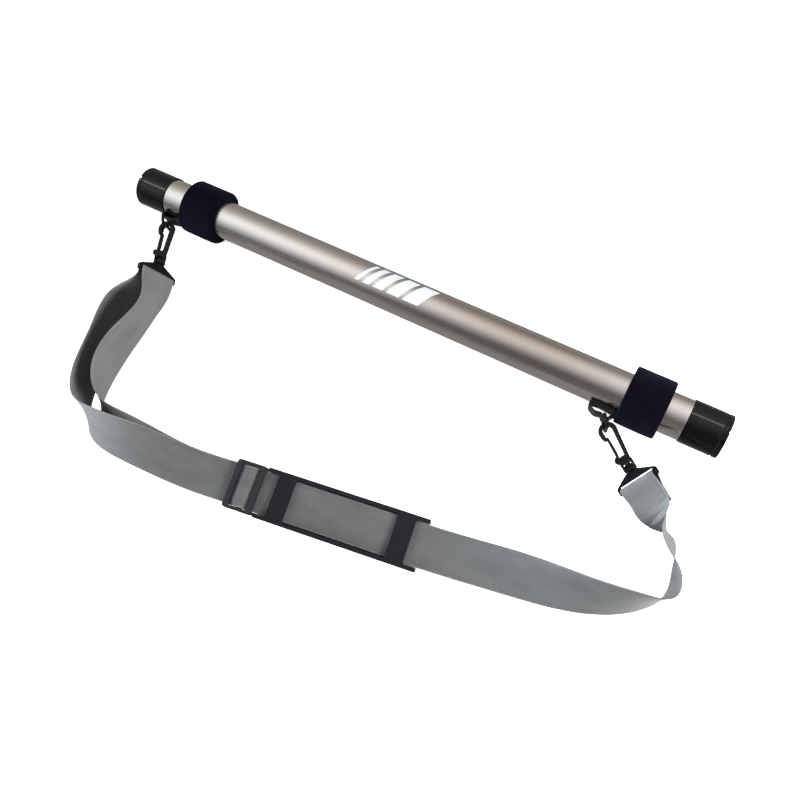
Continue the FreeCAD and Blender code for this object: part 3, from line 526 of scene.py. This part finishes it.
def cap_faces(first, count):
    """Faces that close one end of a sweep: rungs between the two halves of its section."""
    middle = count // 2
    rungs = [(k - 1, count - k + 1, count - k, k) for k in range(2, middle)]
    ends = [(0, count - 1, 1), (middle - 1, middle + 1, middle)]
    return [tuple(first + k for k in face) for face in rungs + ends]


def sweep(name, stations, section, wobble=None, shape=None):
    """Closed solid of one section carried along stations of (centre, across, normal).

    section lists an even number of (across, normal) offsets, round its outline; wobble(length,
    across) adds to the normal offset, and shape(length, total) scales the section near the ends.
    """
    points, flat, faces = [], [], []
    count = len(section)
    lengths = [0.0]
    for (a, _, _), (b, _, _) in zip(stations[:-1], stations[1:]):
        lengths.append(lengths[-1] + (b - a).length)
    for (centre, across, normal), run in zip(stations, lengths):
        grow = shape(run, lengths[-1]) if shape else (1.0, 1.0)
        for a, n in section:
            lift = wobble(run, a) if wobble else 0.0
            points.append(centre + across * (a * grow[0]) + normal * (n * grow[1] + lift))
            flat.append((run, a))
    for i in range(len(stations) - 1):
        for k in range(count):
            j = (k + 1) % count
            faces.append((i * count + k, i * count + j, (i + 1) * count + j, (i + 1) * count + k))
    faces += cap_faces(0, count) + cap_faces((len(stations) - 1) * count, count)
    piece = mesh_piece(name, points, faces, flat)
    mesh = bmesh.new()
    mesh.from_mesh(piece.data)
    bmesh.ops.recalc_face_normals(mesh, faces=mesh.faces)
    mesh.to_mesh(piece.data)
    mesh.free()
    return piece


def mirror_section(upper):
    """Closed section from its upper half, given from one edge to the other."""
    lower = [(a, -n) for a, n in reversed(upper) if abs(n) > 1e-9]
    return upper + lower


def webbing_section(wide, thick, bead=SELVAGE_BEAD, columns=14):
    """Flat webbing with a rolled selvage bead along each edge and a groove beside it."""
    half, up = wide / 2, thick / 2
    inner = half - bead - 0.9 * MM
    near_edge = [
        (half, 0.0),
        (half - 0.12 * MM, up * 0.62),
        (half - 0.45 * MM, up * 0.95),
        (half - bead, up * 0.9),
        (half - bead - 0.35 * MM, up * 0.72),
        (inner, up * 0.9),
    ]
    flat = []
    for i in range(1, columns):
        share = i / columns
        flat.append((inner * (1 - 2 * share), up * (0.9 + 0.08 * math.sin(math.pi * share))))
    far_edge = [(-a, n) for a, n in reversed(near_edge)]
    return mirror_section(near_edge + flat + far_edge)


def padded_section(wide, thick, channel_at, channel_deep, columns=8):
    """Thick soft strap: rounded edges and a sewn channel near each edge."""
    half, up = wide / 2, thick / 2
    seam = half - channel_at
    inner = seam - 0.8 * MM
    arc = [(half - up * (1 - math.cos(t)), up * math.sin(t)) for t in (0.0, 0.35, 0.75, 1.15)]
    near_edge = arc + [
        (half - up - 0.1 * MM, up),
        (seam + 0.75 * MM, up * 0.97),
        (seam + 0.25 * MM, up - channel_deep),
        (seam - 0.25 * MM, up - channel_deep),
        (inner, up * 0.97),
    ]
    flat = [(inner * (1 - 2 * i / columns), up) for i in range(1, columns)]
    far_edge = [(-a, n) for a, n in reversed(near_edge)]
    return mirror_section(near_edge + flat + far_edge)


# ---------------------------------------------------------------- strands, traced from the CAD
def merged_mesh(node):
    """A CAD node's mesh with the points that its faces share made one."""
    mesh = bmesh.new()
    mesh.from_mesh(frame["nodes"][node].data)
    bmesh.ops.remove_doubles(mesh, verts=mesh.verts, dist=0.002 * MM)
    return mesh


def strand_edges(node):
    """The four long edges of a CAD strand, in order round its section, from one end to the other."""
    mesh = merged_mesh(node)
    links = {}
    for edge in mesh.edges:
        if len(edge.link_faces) == 2 and edge.calc_face_angle() > math.radians(50):
            for v in edge.verts:
                links.setdefault(v, []).append(edge.other_vert(v))
    corners = [v for v, near in links.items() if len(near) == 3]

    def at_end(corner):
        return [v for v in links[corner] if v in corners]

    first = corners[0]
    thick_mate = min(at_end(first), key=lambda v: (v.co - first.co).length)
    wide_mate = max(at_end(first), key=lambda v: (v.co - first.co).length)
    last = next(v for v in at_end(thick_mate) if v is not first)
    rails = []
    for corner in (first, thick_mate, last, wide_mate):
        before = corner
        here = next(v for v in links[corner] if v not in corners)
        rail = [corner.co.copy(), here.co.copy()]
        while here not in corners:
            ahead = next(v for v in links[here] if v is not before)
            before, here = here, ahead
            rail.append(here.co.copy())
        rails.append(rail)
    mesh.free()
    return rails


def smooth_rail(rail, step=0.15 * MM):
    """Dense points on a curve through a rail, with tangents weighted to the shorter neighbour."""
    points = np.array([tuple(p) for p in rail])
    spans = np.linalg.norm(np.diff(points, axis=0), axis=1)
    slopes = np.diff(points, axis=0) / spans[:, None]
    tangents = np.vstack([slopes[:1], slopes[:-1], slopes[-1:]])
    before, after = spans[:-1, None], spans[1:, None]
    tangents[1:-1] = (slopes[:-1] * after + slopes[1:] * before) / (before + after)
    dense = []
    for i, span in enumerate(spans):
        count = max(1, int(round(span / step)))
        t = (np.arange(count) / count)[:, None]
        start = (2 * t**3 - 3 * t**2 + 1) * points[i] + (t**3 - 2 * t**2 + t) * span * tangents[i]
        stop = (3 * t**2 - 2 * t**3) * points[i + 1] + (t**3 - t**2) * span * tangents[i + 1]
        dense.append(start + stop)
    dense.append(points[-1:])
    return np.vstack(dense)


def follow(master, rail, reach=40):
    """For each master point, the rail's point that lies square across from it."""
    tangents = np.gradient(master, axis=0)
    tangents /= np.linalg.norm(tangents, axis=1)[:, None]
    found, at = [], 0
    for point, tangent in zip(master, tangents):
        near = rail[at : at + reach]
        at += int(np.argmin(np.abs((near - point) @ tangent)))
        found.append(rail[at])
    return np.array(found)


def strand_stations(node, gap=1.6 * MM, turn=math.radians(7)):
    """Stations along a CAD strand, closer together where it bends."""
    rails = [smooth_rail(rail) for rail in strand_edges(node)]
    master = rails[0]
    others = [follow(master, rail) for rail in rails[1:]]
    corners = [master] + others
    centres = sum(corners) / 4
    across = (corners[0] + corners[1] - corners[2] - corners[3]) / 2
    across /= np.linalg.norm(across, axis=1)[:, None]
    tangents = np.gradient(centres, axis=0)
    tangents /= np.linalg.norm(tangents, axis=1)[:, None]
    normals = np.cross(tangents, across)
    normals /= np.linalg.norm(normals, axis=1)[:, None]
    steps = np.linalg.norm(np.diff(centres, axis=0), axis=1) / gap
    bends = np.arccos(np.clip(np.sum(normals[1:] * normals[:-1], axis=1), -1, 1)) / turn
    progress = np.concatenate([[0], np.cumsum(steps + bends)])
    count = int(progress[-1])
    picks = np.searchsorted(progress, np.linspace(0, progress[-1], count + 1))
    picks = sorted(set(min(int(i), len(centres) - 1) for i in picks))
    return [(Vector(centres[i]), Vector(across[i]), Vector(normals[i])) for i in picks]


def tidal(length, across):
    """Slight unevenness of woven tape that has been used."""
    slow = math.sin(2 * math.pi * length / (83 * MM) + 1.3) * math.cos(across * 60 + 0.4)
    quick = math.sin(2 * math.pi * length / (31 * MM) + across * 90)
    return (0.06 * slow + 0.03 * quick) * MM


def strand(name, node):
    """One of the strap's two strands, in place of its CAD solid."""
    piece = sweep(name, strand_stations(node), webbing_section(WEB_WIDE, WEB_THICK), tidal)
    finish_with(piece, "webbing_grey")
    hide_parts(node)
    return piece


def strap_strands():
    """The long strand, and the strand that returns to the slider."""
    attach(strand("strap_long_strand", "webbing_main"), "strap")
    returning = strand("strap_return_strand", "webbing_return")
    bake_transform(returning)


def slider_hump(steps=26):
    """The long strand's rise over the slider's centre bar, seen between the frame bars."""
    middle = centre_of("slider")
    length = extent_along("slider") - 2 * FRAME_BAR
    level = centre_of("shoulder_pad").z + HUMP_LEVEL
    stations = []
    for i in range(steps + 1):
        share = i / steps
        arch = math.sin(math.pi * share) if 0 < share < 1 else 0.0
        slope = HUMP_TALL * HUMP_POWER * math.pi / length * math.cos(math.pi * share)
        slope *= arch ** (HUMP_POWER - 1)
        centre = middle + RUN_DIRECTION * (share - 0.5) * (length + 2 * HUMP_TUCK)
        centre.z = level + HUMP_TALL * arch**HUMP_POWER
        tangent = (RUN_DIRECTION + AXIS_Z * slope).normalized()
        stations.append((centre, RUN_ACROSS, tangent.cross(RUN_ACROSS)))
    piece = sweep("strap_hump_in_slider", stations, webbing_section(HUMP_WIDE, WEB_THICK), tidal)
    finish_with(piece, "webbing_grey")
    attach(piece, "slider")


strap_strands()
slider_hump()


# ---------------------------------------------------------------- printed mark
def printed_bars(steps=16):
    """Five slanting bars of growing width, printed round the upper front of the tube."""
    x = BAR_START
    low, high = BAR_ARC
    for number, wide in enumerate(BAR_WIDTHS):
        x += wide / 2
        stations = []
        for i in range(steps + 1):
            share = i / steps
            angle = low + (high - low) * share
            out = Vector((0, math.sin(angle), math.cos(angle)))
            centre = AXIS_X * (x + BAR_SLANT * share) + out * (TUBE_RADIUS + INK_THICK / 4)
            stations.append((centre, AXIS_X, out))
        half, up = wide / 2, INK_THICK / 2
        corners = [(half, -up), (half, up), (-half, up), (-half, -up)]
        bar = sweep(f"printed_bar_{number}", stations, corners)
        bar.data.set_sharp_from_angle(angle=math.radians(35))
        finish_with(bar, "tube_aluminium", WHITE_INK)
        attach(bar, "tube")
        x += wide / 2 + BAR_GAP


printed_bars()


# ---------------------------------------------------------------- wound cuffs
def wound_radius(angle):
    """Inner radius of a strap that lies on the tube for most of a turn, then climbs onto itself."""
    share = min(max((angle - CUFF_CLIMB) / (CUFF_LAP - CUFF_CLIMB), 0.0), 1.0)
    return TUBE_RADIUS + CUFF_CLEAR + CUFF_STEP * (1 - math.cos(math.pi * share)) / 2


def wound_point(angle, offset):
    """Point of the winding in the plane across the tube."""
    return Vector((0, math.cos(angle), math.sin(angle))) * (wound_radius(angle) + offset)


def wound_stations(x, start, end, offset, step=math.radians(3)):
    """Stations round the tube at one place along it; across is the tube's direction."""
    count = int((end - start) / step)
    stations = []
    for i in range(count + 1):
        angle = start + (end - start) * i / count
        here, ahead = (wound_point(a, offset) for a in (angle, angle + 0.01))
        tangent = (ahead - here).normalized()
        stations.append((AXIS_X * x + here, -AXIS_X, tangent.cross(-AXIS_X)))
    return stations


def thread_row(name, spots, thick=0.38 * MM, stitch=2.6 * MM, rest=0.9 * MM, sides=6, rings=6):
    """A row of real stitches along spots of (point, outward): each one a small arched bead."""
    points, faces = [], []
    lengths = [0.0]
    for (a, _), (b, _) in zip(spots[:-1], spots[1:]):
        lengths.append(lengths[-1] + (b - a).length)

    def at(run):
        i = min(max(int(np.searchsorted(lengths, run)) - 1, 0), len(spots) - 2)
        share = (run - lengths[i]) / max(lengths[i + 1] - lengths[i], 1e-9)
        (a, up_a), (b, up_b) = spots[i], spots[i + 1]
        return a.lerp(b, share), up_a.lerp(up_b, share).normalized(), (b - a).normalized()

    for index in range(int(lengths[-1] / (stitch + rest))):
        begin = (stitch + rest) * index + rest / 2
        first = len(points)
        for r in range(rings + 1):
            share = r / rings
            centre, up, along = at(begin + stitch * share)
            aside = along.cross(up).normalized()
            arch = math.sin(math.pi * share)
            radius = thick / 2 * (0.35 + 0.65 * arch**0.5)
            middle = centre + up * thick * (0.55 * arch - 0.35)
            for k in range(sides):
                turn = 2 * math.pi * k / sides
                flank = aside * radius * math.cos(turn)
                points.append(middle + flank + up * radius * math.sin(turn) * 0.8)
        for r in range(rings):
            for k in range(sides):
                j = (k + 1) % sides
                a, b = first + r * sides, first + (r + 1) * sides
                faces.append((a + k, b + k, b + j, a + j))
        faces.append(tuple(first + k for k in range(sides)))
        faces.append(tuple(first + rings * sides + k for k in reversed(range(sides))))
    return mesh_piece(name, points, faces)


def felted(length, across):
    """Soft unevenness of a padded strap under tension."""
    slow = math.sin(length * 210 + 0.7) * math.cos(across * 130)
    quick = math.sin(length * 640 + across * 410)
    return (0.10 * slow + 0.04 * quick) * MM


def rounded_end(radius):
    """Section scale that rounds the padded strap's two ends."""

    def shape(run, total):
        near = min(run, total - run)
        if near >= radius:
            return 1.0, 1.0
        share = math.sqrt(max(0.0, 1 - (1 - near / radius) ** 2))
        return 0.9 + 0.1 * share, 0.25 + 0.75 * share

    return shape


def make_cuff(side):
    """One cuff: its padded wrap, the hook tape under its outer end, and two rows of stitches."""
    low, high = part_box(f"cuff_{side}")
    x, wide = (low.x + high.x) / 2, high.x - low.x - 2 * CUFF_INSET
    section = padded_section(wide, CUFF_THICK, CUFF_SEAM, CUFF_GROOVE)
    stations = wound_stations(x, CUFF_START, CUFF_TAIL, CUFF_THICK / 2)
    wrap = sweep(f"cuff_{side}_wrap", stations, section, felted, rounded_end(1.6 * MM))
    finish_with(wrap, "cuff_fabric")
    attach(wrap, "cuffs")
    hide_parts(f"cuff_{side}")

    stations = wound_stations(x, TAPE_START, TAPE_END, TAPE_LEVEL)
    section = webbing_section(wide - 2 * TAPE_INSET, TAPE_THICK)
    tape = sweep(f"cuff_{side}_hook_tape", stations, section)
    finish_with(tape, "hook_tape")
    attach(tape, "cuffs")
    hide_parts(f"hook_tape_{side}")

    for edge, label in ((-1, "inner"), (1, "outer")):
        spots = []
        for centre, across, normal in wound_stations(x, CUFF_LAP, SEAM_END, CUFF_THICK / 2):
            aside = across * edge * (wide / 2 - CUFF_SEAM)
            spots.append((centre + aside + normal * (CUFF_THICK / 2 - 0.2 * MM), normal))
        row = thread_row(f"cuff_{side}_stitches_{label}", spots)
        finish_with(row, "cuff_fabric", CUFF_THREAD)
        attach(row, "cuffs")


# ---------------------------------------------------------------- tabs that hold the rings
def ring_bar(side):
    """Middle of the ring's bar that lies in the tab's fold."""
    pivot = Vector(joint(f"ring_{side}_pivot")["pos_m"])
    low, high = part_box(f"ring_{side}")
    return Vector((low.x + RING_WIRE / 2, high.y - RING_WIRE / 2, pivot.z))


def tab_path(side):
    """Middle line of the tab's band: out along the tube, round its fold and the ring, and back."""
    low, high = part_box(f"tab_{side}")
    bar = ring_bar(side)
    half = TAB_THICK / 2
    reach = RING_WIRE / 2 + RING_CLEAR + half
    top = high.y - half
    under = top - TAB_GAP
    back = low.x + half
    cuff_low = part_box(f"cuff_{side}")[0].x
    slack = bar.x - reach - back
    upper_layer = [(high.x, top), (cuff_low, top)]
    corner = [
        (back + 1.6 * MM, top),
        (back + 0.35 * MM, top - 0.5 * MM),
        (back, top - 1.3 * MM),
    ]
    if slack > 2 * MM:
        corner += [(back + slack * 0.5, bar.y - reach + 2.2 * MM)]
    round_the_bar = [
        (max(back, bar.x - reach), bar.y - 0.2 * MM),
        (bar.x - reach * 0.75, bar.y - reach * 0.7),
        (bar.x, bar.y - reach),
        (bar.x + reach, bar.y - reach * 0.9),
    ]
    lower_layer = [(cuff_low - 0.5 * MM, under), (cuff_low + 2 * MM, under), (high.x, under)]
    line = upper_layer + corner + round_the_bar + lower_layer
    return [Vector((x, y, bar.z)) for x, y in line]


def curve_stations(points, across, step):
    """Stations along a smooth curve through points, with one fixed direction across."""
    dense = smooth_rail(points, step)
    tangents = np.gradient(dense, axis=0)
    stations = []
    for point, tangent in zip(dense, tangents):
        ahead = Vector(tangent).normalized()
        stations.append((Vector(point), across, ahead.cross(across).normalized()))
    return stations


def rest_on_tube(band):
    """Presses the underside of a band flat where it would lie inside the tube's wall."""
    clear = TUBE_RADIUS + TUBE_CLEAR
    for vertex in band.data.vertices:
        reach = math.hypot(vertex.co.y, vertex.co.z)
        if reach < clear:
            vertex.co.y *= clear / reach
            vertex.co.z *= clear / reach


def make_tab(side):
    """One tab: a folded band round the ring's bar, in place of its CAD solid."""
    section = webbing_section(extent_of(f"tab_{side}").z, TAB_THICK, TAB_BEAD, columns=10)
    stations = curve_stations(tab_path(side), AXIS_Z, 0.5 * MM)
    band = sweep(f"tab_{side}_band", stations, section)
    rest_on_tube(band)
    finish_with(band, "tab_webbing")
    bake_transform(band)
    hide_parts(f"tab_{side}")


for side in SIDES:
    make_cuff(side)
    make_tab(side)


# ---------------------------------------------------------------- the sewn end
def own_axes(node):
    """Middle and principal directions of a CAD node, longest first."""
    points = np.array([tuple(v.co) for v in frame["nodes"][node].data.vertices])
    _, _, rows = np.linalg.svd(points - points.mean(0), full_matrices=False)
    spread = (points - points.mean(0)) @ rows.T
    centre = points.mean(0) + ((spread.max(0) + spread.min(0)) / 2) @ rows
    size = spread.max(0) - spread.min(0)
    return Vector(centre), [Vector(row) for row in rows], [float(v) for v in size]


def box_stitch():
    """Box and cross seam through the doubled webbing, as real stitches on both faces."""
    centre, (wide, along, up), (width, length, height) = own_axes("stitching_right")
    half_w, half_l = width / 2 - SEAM_INSET, length / 2 - SEAM_INSET
    corners = [(-1, -1), (1, -1), (1, 1), (-1, 1)]
    rows = [(corners[i], corners[(i + 1) % 4]) for i in range(4)]
    rows += [(corners[0], corners[2]), (corners[1], corners[3])]
    for face, label in ((-1, "under"), (1, "top")):
        level = centre + up * face * (height / 2 - SEAM_SINK)
        for number, ends in enumerate(rows):
            a, b = (level + wide * half_w * w + along * half_l * h for w, h in ends)
            spots = [(a.lerp(b, i / 6), up * face) for i in range(7)]
            name = f"sewn_end_{label}_{number}"
            row = thread_row(name, spots, thick=0.45 * MM, stitch=2.3 * MM, rest=0.6 * MM)
            finish_with(row, "thread")
            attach(row, "strap")
            if name == "sewn_end_top_0":
                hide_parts("stitching_right")


box_stitch()


# ---------------------------------------------------------------- floor and light
def soft_box(name, place, aim, wide, tall, power, colour=(1, 1, 1), spread=180):
    """Area lamp at a place, aimed at a point; spread is its cone in degrees."""
    data = bpy.data.lights.new(name, "AREA")
    data.shape = "RECTANGLE"
    data.size, data.size_y = wide, tall
    data.energy = power
    data.spread = math.radians(spread)
    data.color = colour
    lamp = bpy.data.objects.new(name, data)
    bpy.context.scene.collection.objects.link(lamp)
    lamp.location = place
    lamp.visible_glossy = False
    lamp.visible_camera = False
    lamp.rotation_mode = "QUATERNION"
    lamp.rotation_quaternion = (Vector(aim) - Vector(place)).to_track_quat("-Z", "Y")
    return lamp


def light_only(lamp, nodes):
    """Makes a lamp light only some CAD nodes."""
    group = bpy.data.collections.new(f"{lamp.name}_targets")
    for node in nodes:
        group.objects.link(frame["nodes"][node])
    lamp.light_linking.receiver_collection = group


def studio_lamps():
    """A broad lamp at the right, two weak narrow ones at the left, and a strip for the end caps."""
    cool = (0.90, 0.96, 1.0)
    cooler = (0.86, 0.95, 1.0)
    soft_box("key", (1.2, 0.1, 0.37), (-0.1, -0.15, 0), 0.9, 0.5, 34)
    soft_box("side", (-0.55, -0.9, 0.12), (-0.2, -0.22, 0), 0.6, 0.25, 3.8, cool, 75)
    soft_box("far_left", (-0.65, 0.0, 0.32), (0.33, -0.09, 0.01), 0.2, 0.2, 0.36, cooler, 20)
    streak = soft_box("streak", (-0.3, 0.3, 1.0), (-0.3, 0.3, 0), 1.7, 0.05, 4.0, (0.88, 0.94, 1.0))
    streak.rotation_quaternion = Matrix.Rotation(math.radians(22), 3, "Z").to_quaternion()
    streak.visible_glossy = True
    light_only(streak, ("collar_left", "collar_right", "plug_left", "plug_right"))


FLOOR_HALF = 6.0
SHADED_REACH = 30 * MM
FLOOR_REFLECTED = (0.31, 0.295, 0.28, 1)


def studio_floor():
    """White paper: it glows white to the camera but for narrow gaps, and is duller in reflections."""
    corners = [(-1, -1), (1, -1), (1, 1), (-1, 1)]
    points = [(x * FLOOR_HALF, y * FLOOR_HALF, FLOOR_Z) for x, y in corners]
    floor = mesh_piece("studio_floor", points, [(0, 1, 2, 3)])
    paper = Shader("paper")
    tooth = paper.noise(paper.place(), 900.0, 3.0)
    seen = paper.ray("Is Camera Ray")
    white = paper.blend(tooth, (0.93, 0.93, 0.93), (0.96, 0.96, 0.96))
    openness = paper.node("ShaderNodeAmbientOcclusion", {"Distance": SHADED_REACH}, samples=8)
    glow = paper.ramp(openness.outputs["AO"], 0.12, 0.42, 0.0, 0.95)
    paper.set(
        Base_Color=paper.blend(seen, (0.30, 0.30, 0.31), white),
        Roughness=0.9,
        Specular_IOR_Level=0.05,
        Emission_Color=(1, 1, 1, 1),
        Emission_Strength=paper.math("MULTIPLY", seen, glow),
    )
    reflected = paper.node("ShaderNodeEmission", {"Color": FLOOR_REFLECTED}).outputs[0]
    both = paper.mix_shader(paper.ray("Is Glossy Ray"), paper.surface.outputs[0], reflected)
    paper.put(paper.tree.nodes["Material Output"].inputs["Surface"], both)
    floor.data.materials.append(paper.material)


# Bands of a soft overhead light as glossy surfaces see it, by angle from straight up towards +Y.
SKY_BANDS = (
    (-180, (0.30, 0.30, 0.30)),
    (-100, (0.26, 0.26, 0.27)),
    (-76, (0.13, 0.13, 0.14)),
    (-62, (0.34, 0.35, 0.37)),
    (-38, (0.90, 0.94, 1.00)),
    (-12, (1.52, 1.56, 1.62)),
    (12, (1.36, 1.36, 1.37)),
    (36, (0.64, 0.62, 0.60)),
    (66, (0.38, 0.36, 0.345)),
    (100, (0.31, 0.285, 0.275)),
    (180, (0.30, 0.30, 0.30)),
)
SKY_PEAK = 2.0
SKY_TWIST = 0.55
WARM_MIDDLE = -0.15
WARM_TINT = (0.50, 0.42, 0.36)
EVEN_COLOUR = (0.97, 0.985, 1.0, 1)
EVEN_LIGHT = 0.28


def studio_air():
    """Even white light for matt surfaces, soft bands along the tube for glossy ones, white beyond."""
    world = bpy.data.worlds.new("studio_air")
    bpy.context.scene.world = world
    world.use_nodes = True
    air = Nodes(world.node_tree)

    def background(colour, strength):
        inputs = {"Color": colour, "Strength": strength}
        return air.node("ShaderNodeBackground", inputs).outputs["Background"]

    way = air.split(air.node("ShaderNodeTexCoord").outputs["Generated"])
    turn = air.math("ARCTAN2", way["Y"], way["Z"])
    turn = air.math("SUBTRACT", turn, air.math("ADD", way["X"], SKY_TWIST))
    share = air.ramp(turn, -math.pi, math.pi)
    places = [((angle + 180) / 360, tuple(c / SKY_PEAK for c in colour)) for angle, colour in SKY_BANDS]
    off_middle = air.math("ABSOLUTE", air.math("SUBTRACT", way["X"], WARM_MIDDLE))
    warm = air.ramp(off_middle, 0.26, 0.02)
    bands = air.blend(warm, air.stops(share, places), WARM_TINT, how="MULTIPLY")
    even, mirror = background(EVEN_COLOUR, EVEN_LIGHT), background(bands, SKY_PEAK)
    both = air.mix_shader(air.ray("Is Glossy Ray"), even, mirror)
    seen = air.mix_shader(air.ray("Is Camera Ray"), both, background((1, 1, 1, 1), 1.0))
    air.put(world.node_tree.nodes["World Output"].inputs["Surface"], seen)


# ---------------------------------------------------------------- camera
CAMERA_PLACE = (0.2362, -0.2221, 0.7102)
CAMERA_TURN = [math.radians(angle) for angle in (16.034, 8.876, 28.005)]


def photo_camera():
    """Camera above the strap's right half, turned so that the tube runs down to the right."""
    data = bpy.data.cameras.new("camera")
    data.sensor_width = 36.0
    data.lens = 36.5
    camera = bpy.data.objects.new("camera", data)
    bpy.context.scene.collection.objects.link(camera)
    camera.location = CAMERA_PLACE
    camera.rotation_euler = CAMERA_TURN
    bpy.context.scene.camera = camera


studio_floor()
studio_air()
studio_lamps()
photo_camera()
bpy.context.scene.view_settings.view_transform = "Standard"
